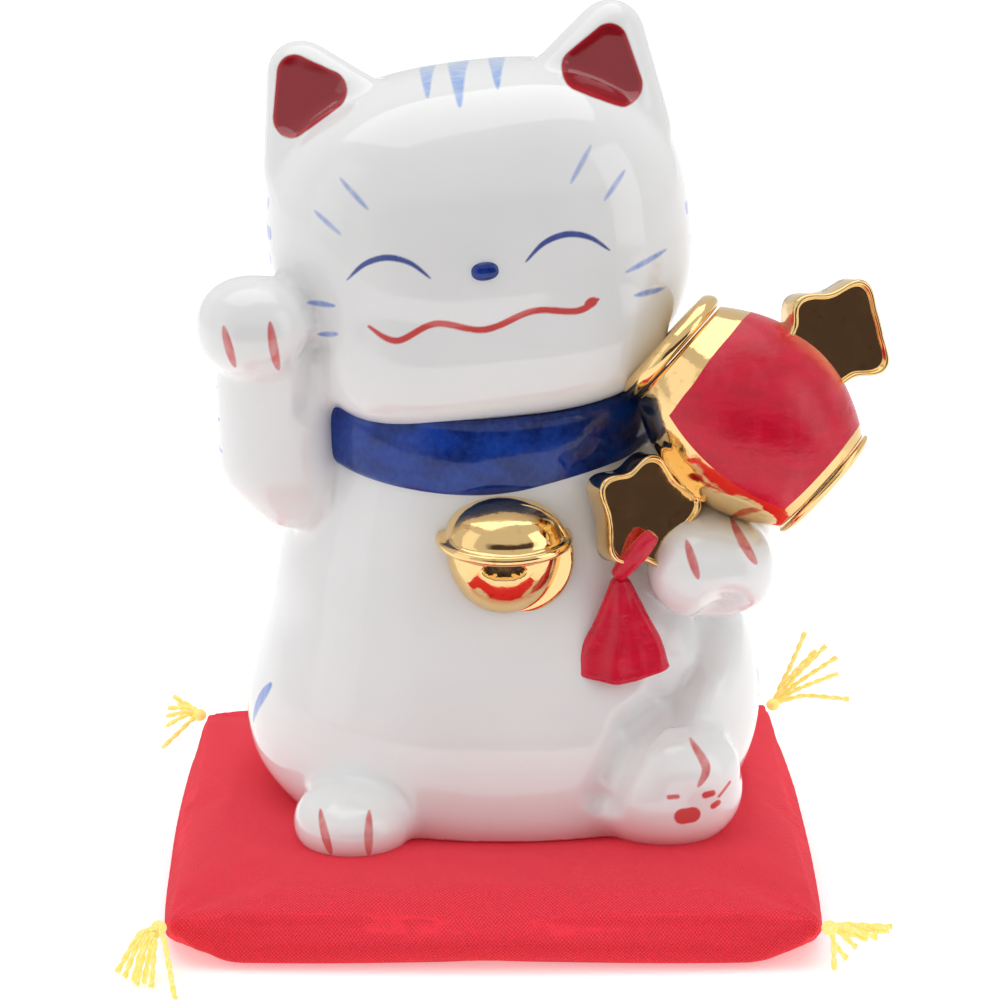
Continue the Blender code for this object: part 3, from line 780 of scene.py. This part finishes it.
def body_strokes():
    """The claws, the pads, and the stripes of the flanks, the raised arm and the back."""
    front, flank = ("world", 0, 2), ("world", 1, 2)
    made = []
    claws = (
        ((-38.0, 83.6), (-36.6, 77.6)), ((-31.6, 84.2), (-30.7, 76.8)),
        ((26.0, 53.2), (27.6, 48.4)), ((32.5, 55.2), (35.8, 50.0)),
        ((-25.3, 15.4), (-23.7, 9.8)), ((-18.4, 15.6), (-18.4, 9.7)),
        ((26.8, 25.0), (28.9, 21.8), (27.8, 19.2)),
    )
    for points in claws:
        made.append((front, -1, points, 1.25, "lens", CLAW_RED, 0.85))
    pads = (((25.7, 14.8), (27.0, 14.9), 2.5), ((23.7, 17.7), (24.9, 17.8), 0.7),
            ((28.9, 17.8), (29.8, 17.9), 1.1), ((30.1, 15.8), (30.7, 16.1), 1.0),
            ((30.9, 17.2), (32.4, 18.9), 0.5))
    for start, end, width in pads:
        made.append((front, -1, (start, end), width, "blunt", CLAW_RED, 0.95))
    flanks = (
        (-1, (-11.3, 27.6), (-6.8, 20.4), 1.9), (1, (-8.6, 29.0), (-6.4, 23.4), 1.8),
        (-1, (0.0, 33.0), (3.0, 22.0), 2.2), (1, (4.0, 33.0), (6.0, 22.0), 2.2),
        (-1, (11.0, 33.0), (13.0, 22.0), 2.2), (1, (14.0, 33.0), (16.0, 22.0), 2.2),
    )
    for side, start, end, width in flanks:
        made.append((flank, side, (start, end), width, "point", COBALT_PALE, 0.85))
    for z in (72.6, 67.8, 63.2):
        made.append((flank, -1, ((-13.6, z), (-6.0, z + 0.5)), 1.2, "lens", COBALT_PALE, 0.85))
    for x, low, high in ((-14.0, 36.0, 48.0), (-2.0, 34.0, 50.0), (10.0, 36.0, 48.0)):
        made.append((front, 1, ((x, high), (x, low)), 2.8, "point", COBALT_PALE, 0.8))
    return made


def strokes():
    """Every brush stroke: (view, side, points, width, taper, colour, strength).

    A view names the two axes that its points are in, and whether they are the head's. The side says
    which way the painted surface faces.
    """
    return head_strokes() + body_strokes()


def stroke_radius(width, taper, share):
    """The brush's radius along a stroke."""
    if taper == "lens":
        return width / 2 * (0.18 + 0.82 * math.sin(math.pi * share) ** 0.8)
    if taper == "point":
        return width / 2 * (0.12 + 0.88 * min(1.0, (1.0 - share) * 1.7) ** 0.8) * min(1.0, 0.5 + share * 2.0)
    if taper == "even":
        return width / 2 * (0.45 + 0.55 * min(1.0, 8.0 * share, 10.0 * (1.0 - share)))
    return width / 2


def stroke_gap(stroke, points, local, normals):
    """How far each point is outside a stroke."""
    (space, first, second), side, corners, width, taper, _, _ = stroke
    spots = local if space == "head" else points
    third = 3 - first - second
    length = sum(math.dist(a, b) for a, b in zip(corners, corners[1:]))
    line = spline(corners, max(8, math.ceil(length / (len(corners) - 1) / 0.12)))
    flat = spots[:, (first, second)]
    low, high = line.min(axis=0) - width - 1.0, line.max(axis=0) + width + 1.0
    near = np.all((flat > low) & (flat < high), axis=1)
    near &= normals[:, third] * side > 0.12
    if space == "head":
        near &= local[:, 2] > -20.0
    elif taper == "lens" and first == 1:
        near &= points[:, 0] < -33.0
    found = np.flatnonzero(near)
    gap = np.full(len(points), np.inf)
    best = np.full(len(found), np.inf)
    for i, spot in enumerate(line):
        radius = stroke_radius(width, taper, i / (len(line) - 1))
        best = np.minimum(best, np.linalg.norm(flat[found] - spot, axis=1) - radius)
    gap[found] = best
    return gap


def refine(mesh, gaps):
    """Divides the faces near the paint, so that its edges are crisp."""
    close = gaps < 0.55
    form = form_of(mesh)
    edges = set()
    for face in form.faces:
        if any(close[vert.index] for vert in face.verts):
            edges.update(face.edges)
    made = bmesh.ops.subdivide_edges(form, edges=list(edges), cuts=3, use_grid_fill=True)
    fresh = [item for item in made["geom_inner"] if isinstance(item, bmesh.types.BMVert)]
    for _ in range(6):
        bmesh.ops.smooth_vert(form, verts=fresh, factor=0.5, **dict.fromkeys(SMOOTH_AXES, True))
    write_back(form, mesh)


def paint(mesh):
    """Lays the strokes and the ears' red on the skin as a colour with a strength."""
    made = strokes()
    for last in (False, True):
        points, normals = points_of(mesh), normals_of(mesh)
        local = in_head(points)
        gaps = [stroke_gap(stroke, points, local, normals) for stroke in made]
        ears = ear_gap(points)
        if not last:
            refine(mesh, np.minimum(np.min(gaps, axis=0), np.abs(ears)))
    colours = np.tile((*CLAY, 0.0), (len(points), 1))
    nearest = np.full(len(points), PAINT_REACH)
    for stroke, gap in zip(made, gaps):
        closer = gap < nearest
        nearest = np.where(closer, gap, nearest)
        *_, colour, strength = stroke
        soft = WATERY_EDGE if colour in (COBALT_PALE, COBALT_SKY) else CRISP_EDGE
        colours[closer, :3] = colour
        colours[closer, 3] = (strength * unit(0.5 - gap / soft))[closer]
    inside = ears < 0.4
    rim = unit(1.0 - np.abs(ears - EAR_RIM[0]) / EAR_RIM[1])[:, None]
    bright = np.array(EAR_RED) * (1 - rim) + np.array(EAR_RIM_RED) * rim
    colours[inside, :3] = bright[inside]
    colours[inside, 3] = unit(0.5 - ears / EAR_EDGE)[inside]
    layer = mesh.attributes.new("paint", "FLOAT_COLOR", "POINT")
    layer.data.foreach_set("color", colours.astype(np.float32).ravel())


def open_base(mesh):
    """Cuts the cat off flat, and hollows it through a vent in its base."""
    form = form_of(mesh)
    whole = form.verts[:] + form.edges[:] + form.faces[:]
    bmesh.ops.bisect_plane(form, geom=whole, plane_co=mm((0, 0, SEAT)), plane_no=(0, 0, 1), clear_inner=True)
    rim = [edge for edge in form.edges if edge.is_boundary]
    middle = Vector((TRUNK[0][1], TRUNK_SPINE, 0.0))
    loops = []
    for radius, height in HOLLOW:
        ring = circle(radius, height, HOLLOW_STEPS)
        loops.append([form.verts.new(mm(middle + Vector(spot))) for spot in ring])
    vent = [form.edges.new((a, b)) for a, b in zip(loops[0], loops[0][1:] + loops[0][:1])]
    base = bmesh.ops.triangle_fill(form, use_beauty=True, edges=rim + vent)
    bare = [item for item in base["geom"] if isinstance(item, bmesh.types.BMFace)]
    for low, high in zip(loops, loops[1:]):
        for k in range(HOLLOW_STEPS):
            m = (k + 1) % HOLLOW_STEPS
            bare.append(form.faces.new((low[k], low[m], high[m], high[k])))
    bare.append(form.faces.new(loops[-1]))
    bmesh.ops.recalc_face_normals(form, faces=form.faces)
    for face in bare:
        face.material_index = 1
        face.smooth = False
    write_back(form, mesh)


def make_porcelain():
    mesh = clay_mesh()
    press_grooves(mesh)
    press_ears(mesh)
    open_base(mesh)
    paint(mesh)
    smooth = [face.material_index == 0 for face in mesh.polygons]
    finishes = (porcelain_glaze(), bisque())
    add_piece("porcelain_cat", mesh, finishes, "porcelain", "body_casting", "raised_arm", "holding_arm")
    mesh.polygons.foreach_set("use_smooth", smooth)


def make_nose():
    form = bmesh.new()
    centre, radii = NOSE
    add_blob(form, centre, radii, 2.3, head_place())
    glaze = cobalt_glaze("nose_glaze", False)
    add_piece("glazed_nose", mesh_of("glazed_nose", form), (glaze,), "cobalt", "nose")


def make_collar():
    """A flat strap round the neck, deeper in front."""
    count, sides = COLLAR_STEPS
    rings = []
    for around in turns(count):
        front = max(0.0, -math.sin(around)) ** 1.2
        level, half = (mix(side, face, front) for side, face in zip(COLLAR_SIDE, COLLAR_FRONT))
        ring = []
        for turn in turns(sides):
            up = boxy(math.sin(turn), 0.5) * half
            wave = 0.12 * noise.noise(Vector((math.cos(around) * 3, math.sin(around) * 3, up * 0.4)))
            out = boxy(math.cos(turn), 0.55) * COLLAR_THICKNESS / 2 + wave
            x = COLLAR_CENTRE[0] + (COLLAR_RING[0] + out) * math.cos(around)
            y = COLLAR_CENTRE[1] + (COLLAR_RING[1] + out) * math.sin(around)
            ring.append((x, y, level + up + wave))
        rings.append(ring)
    mesh = loft("glazed_collar", rings, wrap=True)
    thin = mesh.attributes.new("thin", "FLOAT", "POINT")
    for i, spot in enumerate(thin.data):
        down = -math.sin(math.tau * (i % sides) / sides)
        spot.value = max(0.0, (down - GLAZE_THINS) / (1.0 - GLAZE_THINS))
    add_piece("glazed_collar", mesh, (cobalt_glaze("collar_glaze"),), "cobalt", "collar_band")


def turned(name, profile, steps, at):
    """A solid of revolution about Z from (radius, height) points, placed by a matrix."""
    mesh = loft(name, [circle(radius, height, steps) for radius, height in profile])
    mesh.transform(at)
    return mesh


def bell_profile():
    brim, half, level = BELL_BRIM
    points = [(0.05, BELL_DOME[1])]
    for i in range(1, 17):
        turn = math.pi / 2 * i / 17
        height = mix(level + half, BELL_DOME[1], math.cos(turn))
        points.append((BELL_DOME[0] * math.sin(turn), height))
    for i in range(9):
        turn = math.pi / 2 - math.pi * i / 8
        points.append((brim - half + half * math.cos(turn), level + half * math.sin(turn)))
    for i in range(1, BELL_BOWL_STEPS):
        turn = math.pi / 2 * i / BELL_BOWL_STEPS
        height = level - half - (BELL_BOWL[1] + level - half) * math.sin(turn)
        points.append((BELL_BOWL[0] * math.cos(turn) ** 0.85, height))
    return points + [(0.05, -BELL_BOWL[1])]


def make_bell(gold):
    mesh = turned("gilt_bell", bell_profile(), BELL_STEPS, Matrix())
    half_width, half_height, level = BELL_SLOT
    # Painted shade: the faces in the slot take the second material, which is dark as if in shadow.
    for face in mesh.polygons:
        x, y, z = face.center * METRE
        if y < 0 and (x / half_width) ** 2 + ((z - level) / half_height) ** 2 < 1.0:
            face.material_index = 1
    for vert in mesh.vertices:
        x, y, z = vert.co * METRE
        inward = 1.0 - (x / (half_width * 1.15)) ** 2 - ((z - level) / (half_height * 1.3)) ** 2
        if y < 0 and inward > 0:
            vert.co.y += 1.3 * min(1.0, inward * 2.2) / METRE
    size = Matrix.Diagonal((1.0, BELL_DEPTH, 1.0, 1.0))
    pitch = rotation(BELL_PITCH, "X")
    mesh.transform(at_point(BELL_CENTRE) @ pitch @ size)
    behind = at_point(Vector(BELL_CENTRE) + Vector(BELL_BACK_AT))
    back = turned("bell_back", BELL_BACK, 96, behind @ rotation(90, "X"))
    form = form_of(mesh)
    form.from_mesh(back)
    write_back(form, mesh)
    add_piece("gilt_bell", mesh, (gold, slot_painted_shade()), "gilding", "bell")


def mallet_place():
    turn = rotation(MALLET_TURN, "Z")
    tilt = rotation(MALLET_TILT, "Y")
    return at_point(MALLET_CENTRE) @ turn @ tilt


def make_barrel(enamel, gold):
    """The drum: its enamel covers the front and the top, and the rest is gilt."""
    along, around = DRUM_STEPS
    first, last = ENAMEL_RINGS
    rings = []
    for i in range(along + 1):
        level = np.interp(i, (0, first, last, along), (-BARREL_HALF, *ENAMEL_ENDS, BARREL_HALF))
        ring = []
        for turn in turns(around):
            inner = 1.0 - (level / BARREL_HALF) ** 2
            wander = 0.9 * noise.noise(Vector((math.cos(turn) * 2.0, math.sin(turn) * 2.0, level * 0.05)))
            skew = math.sin(turn) * mix(*ENAMEL_SKEW, (level / BARREL_HALF + 1.0) / 2)
            x = level + inner * (wander + skew)
            radius = BARREL_END + BARREL_BULGE * (1.0 - (x / BARREL_HALF) ** 2)
            ring.append((x, -radius * math.cos(turn), radius * math.sin(turn)))
        rings.append(ring)
    mesh = loft("mallet_drum", rings)
    lower = round(around * (1.0 - ENAMEL_BELOW / 360.0))
    upper = round(around * ENAMEL_ABOVE / 360.0)
    for face in mesh.polygons:
        i, k = divmod(face.index, around)
        red = first <= i < last and (k >= lower or k < upper)
        face.material_index = 0 if red and face.index < along * around else 1
    mesh.transform(mallet_place())
    add_piece("mallet_drum", mesh, (enamel, gold), "red_enamel", "mallet_barrel")


def make_rims(gold):
    onto_axis = mallet_place() @ rotation(90, "Y")
    for side, node in ((-1, "mallet_rim_inner"), (1, "mallet_rim_outer")):
        profile = [(0.05, side * (BARREL_HALF + 0.3))]
        longer, wider = RIM_SCALES[side]
        for reach, radius in RIM_PROFILE:
            profile.append((radius * wider, side * (BARREL_HALF + max(0.3, reach * longer))))
        profile.append((0.05, profile[-1][1]))
        add_piece("gilt_" + node, turned(node, profile, 96, onto_axis), (gold,), "gilding", node)


def lobed_radius(angle, lobes):
    off = [(angle - lobe + 180.0) % 360.0 - 180.0 for lobe in lobes]
    return HANDLE_RADIUS + LOBE_HEIGHT * sum(math.exp(-((turn / LOBE_WIDTH) ** 2)) for turn in off)


def make_handles(gold):
    """The lobed ends of the mallet's handle, each with a rolled rim round a dished face."""
    for end, (centre, lobes, facing) in HANDLE_ENDS.items():
        rings = []
        for share, depth in PLATE_PROFILE:
            ring = []
            for i in range(PLATE_STEPS):
                angle = 360.0 * i / PLATE_STEPS
                reach = lobed_radius(angle, lobes)
                reach = reach * share if share > 0.8 else mix(HANDLE_RADIUS, reach, share) * share
                across, up = reach * math.cos(math.radians(angle)), reach * math.sin(math.radians(angle))
                ripple = noise.noise(Vector((across * 0.6, up * 0.6, depth))) if share > 0.87 else 0.0
                ring.append((across, depth + 0.12 * ripple, up))
            rings.append(ring)
        name = "gilt_handle_" + end
        mesh = loft(name, rings)
        turn = rotation(facing, "Z")
        lean = rotation(-HANDLE_LEAN, "X")
        mesh.transform(at_point(centre) @ turn @ lean)
        add_piece(name, mesh, (gold,), "gilding", "mallet_handle_" + end)


def tube(line, radius_at, sides=20):
    """Rings round a line, with a radius for each share of its length."""
    rings = []
    for i, spot in enumerate(line):
        ahead = line[min(i + 1, len(line) - 1)] - line[max(i - 1, 0)]
        ahead = Vector(ahead).normalized()
        side = ahead.cross(Vector((0.3, 1, 0.2))).normalized()
        up = ahead.cross(side)
        radius = radius_at(i / (len(line) - 1))
        ring = circle(radius, 0.0, sides)
        rings.append([Vector(spot) + side * across + up * over for across, over, _ in ring])
    return rings


def make_tassel(enamel):
    """The moulded red tassel: a cord, and a skirt with soft folds."""
    cord = tube(spline(STRAP, 16), lambda t: 0.35 + 1.15 * math.sin(math.pi * mix(0.12, 0.86, t)) ** 0.6)
    add_piece("tassel_strap", loft("tassel_strap", cord), (enamel,), "red_enamel", "tassel_cord")
    down, around = SKIRT_STEPS
    rings = []
    for i in range(down + 1):
        t = i / down
        closing = math.sqrt(max(0.02, 1.0 - max(0.0, 1.0 - t / 0.06, (t - 0.93) / 0.07) ** 2))
        uneven = 1.0 + 0.07 * noise.noise(Vector((2.5, t * 4.0, 7.0)))
        width = mix(*SKIRT_WIDTHS, t) * closing * uneven
        depth = mix(*SKIRT_DEPTHS, t) * closing
        ring = []
        for turn in turns(around):
            across = math.sin(turn)
            crumple = noise.noise(Vector((across * 1.7, t * 2.6, 3.1)))
            pleats = 0.42 * math.cos(across * 5.4 + 0.5) + 0.16 * math.cos(across * 11.0 + 2.0)
            fold = (pleats + SKIRT_CRUMPLE * crumple) * t * closing
            drop = t * (0.6 * math.cos(across * 2.4) - 0.45 * across)
            centre = [mix(a, b, t) for a, b in zip(SKIRT_TOP, SKIRT_HEM)]
            x = centre[0] + width * across + SKIRT_LEAN * math.sin(t * 3.0)
            y = centre[1] - (depth + fold) * math.cos(turn)
            ring.append((x, y, centre[2] - drop))
        rings.append(ring)
    add_piece("tassel_skirt", loft("tassel_skirt", rings), (enamel,), "red_enamel", "mallet_tassel")


# The cushion


def cushion_cage():
    """A slack cushion before it is filled: flat panels that meet at a seam above half its height."""
    steps = CAGE_STEPS
    inset, above, below = SLACK
    half = CUSHION_SIDE / 2 - inset
    form = bmesh.new()
    grids = []
    for side in (1, -1):
        depth = CUSHION_TOP - above - SEAM_HEIGHT if side > 0 else SEAM_HEIGHT - below
        grid = []
        for i in range(steps + 1):
            row = []
            for j in range(steps + 1):
                s, t = (math.sin((2 * v / steps - 1) * math.pi / 2) for v in (j, i))
                edge = max(0.0, (1 - abs(s) ** CAGE_SQUARENESS) * (1 - abs(t) ** CAGE_SQUARENESS))
                edge **= 0.5 if side > 0 else 0.3
                corner = math.hypot(1 - abs(s), 1 - abs(t)) * half
                full = edge * min(1.0, corner / CAGE_CORNER) ** 0.55
                belly = CAGE_BELLY * math.sin(math.pi * min(1.0, full * 0.62)) if side < 0 else 0.0
                x, y = s * (half + belly * (1 - t**6)), t * (half + belly * (1 - s**6))
                lift = max(below, depth * full)
                row.append(form.verts.new(mm((x, y, SEAM_HEIGHT + side * lift))))
            grid.append(row)
        grids.append(grid)
    top, bottom = grids
    for i in range(steps):
        for j in range(steps):
            form.faces.new((top[i][j], top[i][j + 1], top[i + 1][j + 1], top[i + 1][j]))
            form.faces.new((bottom[i][j], bottom[i + 1][j], bottom[i + 1][j + 1], bottom[i][j + 1]))
    ends = [(0, j) for j in range(steps)] + [(i, steps) for i in range(steps)]
    ends += [(steps, j) for j in range(steps, 0, -1)] + [(i, 0) for i in range(steps, 0, -1)]
    for (i, j), (k, m) in zip(ends, ends[1:] + ends[:1]):
        form.faces.new((top[i][j], bottom[i][j], bottom[k][m], top[k][m]))
    bmesh.ops.recalc_face_normals(form, faces=form.faces)
    return mesh_of("cushion_cage", form)


def inflate(obj):
    """Fills the cushion with cloth simulation, and caps how far it swells."""
    scene = bpy.context.scene
    cloth = obj.modifiers.new("Fill", "CLOTH")
    for key, value in FILLING.items():
        setattr(cloth.settings, key, value)
    cloth.settings.effector_weights.gravity = 0.0
    cloth.collision_settings.use_collision = False
    before = points_of(obj.data)
    cloth.point_cache.frame_start = 1
    cloth.point_cache.frame_end = FILL_FRAMES
    for number in range(1, FILL_FRAMES + 1):
        scene.frame_set(number)
    after = points_of(baked_copy(obj))
    scene.frame_set(1)
    obj.modifiers.remove(cloth)
    move = after - before
    length = np.linalg.norm(move, axis=1, keepdims=True)
    set_points(obj.data, before + move * np.minimum(1.0, SWELL / np.maximum(length, 1e-6)))


def on_cushion(s, t):
    """World X and Y of a place on the cushion, which isn't quite square. Its corners are at -1 and 1."""
    shares = {(side, end): (1 + s * side) * (1 + t * end) / 4 for side, end in CUSHION_CORNERS}
    return tuple(sum(CUSHION_CORNERS[key][i] * share for key, share in shares.items()) for i in (0, 1))


def settle(points):
    """Flattens the cushion under the cat and on the table, and gathers it at its corners and seam."""
    x, y, z = points.T
    half = CUSHION_SIDE / 2
    away = np.hypot(half - np.abs(x), half - np.abs(y))
    angle = np.arctan2(half - np.abs(y), half - np.abs(x))
    depth, reach, pace = GATHERS
    gather = np.exp(-away / reach) * unit(away / EDGE_BAND) * depth * np.cos(angle * pace)
    side = unit((np.maximum(np.abs(x), np.abs(y)) - half + EDGE_BAND) / EDGE_BAND)
    along = np.where(np.abs(x) > np.abs(y), y, x)
    depth, pace = PUCKERS
    pucker = side * depth * np.cos(along * pace + 0.6 * np.sin(along * 0.7))
    z = z + (gather + pucker) * unit((z - 2.0) / 3.0)
    middle, radii = CAT_SEAT
    seat = 1.0 - unit((np.hypot((x - middle[0]) / radii[0], (y - middle[1]) / radii[1]) - 0.9) / 0.2)
    z = np.where(z > SEAM_HEIGHT, np.minimum(z, mix(CUSHION_TOP + CROWN, CUSHION_TOP, seat)), z)
    z = np.maximum(TABLE_GAP, z)
    seam = np.exp(-(((z - SEAM_HEIGHT) / SEAM_WIDTH) ** 2)) * side
    s, t = (v / half * (1.0 - seam * 0.004) for v in (x, y))
    return np.column_stack((*on_cushion(s, t), z))


def make_cushion():
    cushion = add_object("cotton_cushion", cushion_cage(), woven_cotton())
    add_remesh(cushion, CUSHION_BEAD)
    mesh = baked(cushion)
    cushion = add_object("cotton_cushion", mesh)
    inflate(cushion)
    divide = cushion.modifiers.new("Divide", "SUBSURF")
    divide.levels = 1
    divide.render_levels = 1
    mesh = baked(cushion)
    set_points(mesh, settle(points_of(mesh)))
    nodes = ("cushion_cover_top", "cushion_cover_bottom", "cushion_wadding")
    cushion = add_piece("cotton_cushion", mesh, (), "cushion_cloth", *nodes, body="cushion")


def strand_line(knot, tip, sag, draw):
    """A strand's path: out of the knot, over, and down to its end."""
    knot, tip = Vector(knot), Vector(tip)
    reach = (tip - knot).length
    stray = Vector((draw.uniform(-0.5, 0.5) for _ in range(3)))
    middle = knot.lerp(tip, 0.45) + Vector((0, 0, sag * reach)) + stray
    line = spline((knot, knot.lerp(middle, 0.5) + Vector((0, 0, 0.25)), middle, tip), 10)
    line[:, 2] = np.maximum(line[:, 2], YARN + PLY + 0.12)
    return line


def add_strand(form, line):
    """Two plies of yarn twisted round each other."""
    lengths = np.concatenate(([0.0], np.cumsum(np.linalg.norm(np.diff(line, axis=0), axis=1))))
    count = max(12, int(lengths[-1] / 0.3))
    stations = np.linspace(0, lengths[-1], count)
    spots = np.column_stack([np.interp(stations, lengths, line[:, i]) for i in range(3)])
    for ply in (0.0, math.pi):
        ply_line = []
        for i, spot in enumerate(spots):
            ahead = Vector(spots[min(i + 1, count - 1)] - spots[max(i - 1, 0)]).normalized()
            side = ahead.cross(Vector((0.2, 0.3, 1.0))).normalized()
            turn = ply + lengths[-1] * i / (count - 1) * math.pi / TWIST
            aside = side * math.cos(turn) + ahead.cross(side) * math.sin(turn)
            ply_line.append(np.array(Vector(spot) + aside * (YARN - PLY)))
        form.from_mesh(loft("ply", tube(ply_line, lambda t: PLY * (1.0 if t < 0.93 else 1.15), 8)))


def make_corner_tassels():
    draw = random.Random(SEED)
    names = {(-1, -1): "front_left", (1, -1): "front_right", (-1, 1): "back_left", (1, 1): "back_right"}
    yarn = yellow_yarn()
    for (side, end), tips in STRAND_TIPS.items():
        x, y = CUSHION_CORNERS[(side, end)]
        knot = Vector((x + side * 0.3, y + end * 0.3, SEAM_HEIGHT))
        form = bmesh.new()
        add_blob(form, knot, (1.1, 1.1, 1.0))
        for tip in tips:
            sag = 0.2 if tip[2] < -4.5 else 0.05
            add_strand(form, strand_line(knot, knot + Vector(tip), sag, draw))
        name, node = (kind + names[(side, end)] for kind in ("yarn_tassel_", "corner_tassel_"))
        add_piece(name, mesh_of(name, form), (yarn,), "yellow_yarn", node, body="cushion")


# The set


def add_light(name, at, size, power):
    """A soft box that faces the cat."""
    light = bpy.data.lights.new(name, "AREA")
    light.shape = "RECTANGLE"
    light.size, light.size_y = size
    light.energy = power
    obj = new_object(name, light)
    obj.location = at
    obj.rotation_euler = (Vector(LIGHTS_AIM) - Vector(at)).to_track_quat("-Z", "Y").to_euler()


def make_world():
    """A white room, dark on the camera's side."""
    world = bpy.data.worlds.new("white_room")
    bpy.context.scene.world = world
    room = Recipe(world, "Background")
    toward = room.add("TexCoord").outputs["Generated"]
    facing = room.add("VectorMath", {0: toward, 1: DARK_TOWARD}, operation="DOT_PRODUCT")
    height = room.add("SeparateXYZ", {0: toward}).outputs[2]
    low = room.spread(height, *DARK_HEIGHT, 1.0, 0.0)
    dark = room.times(room.spread(facing.outputs["Value"], *DARK_EDGE), low)
    room.shade(Color=room.blend(dark, ROOM_WHITE, ROOM_DARK), Strength=ROOM_STRENGTH)


def make_stage():
    form = bmesh.new()
    form.faces.new([form.verts.new(corner) for corner in FLOOR_CORNERS])
    floor = add_object("floor", mesh_of("floor", form), floor_paper())
    camera = bpy.data.cameras.new("camera")
    camera.lens = CAMERA_LENS
    camera.sensor_width = 36.0
    camera.clip_start = 0.01
    obj = new_object("camera", camera)
    obj.location = mm(CAMERA_AT)
    obj.rotation_euler = (math.radians(90 - CAMERA_PITCH), 0, 0)
    bpy.context.scene.camera = obj
    bpy.context.scene.view_settings.view_transform = "Standard"
    make_world()
    for light in SOFT_BOXES:
        add_light(*light)


gold = gold_lustre()
enamel = red_enamel()
make_stage()
make_porcelain()
make_nose()
make_collar()
make_bell(gold)
make_barrel(enamel, gold)
make_rims(gold)
make_handles(gold)
make_tassel(enamel)
make_cushion()
make_corner_tassels()
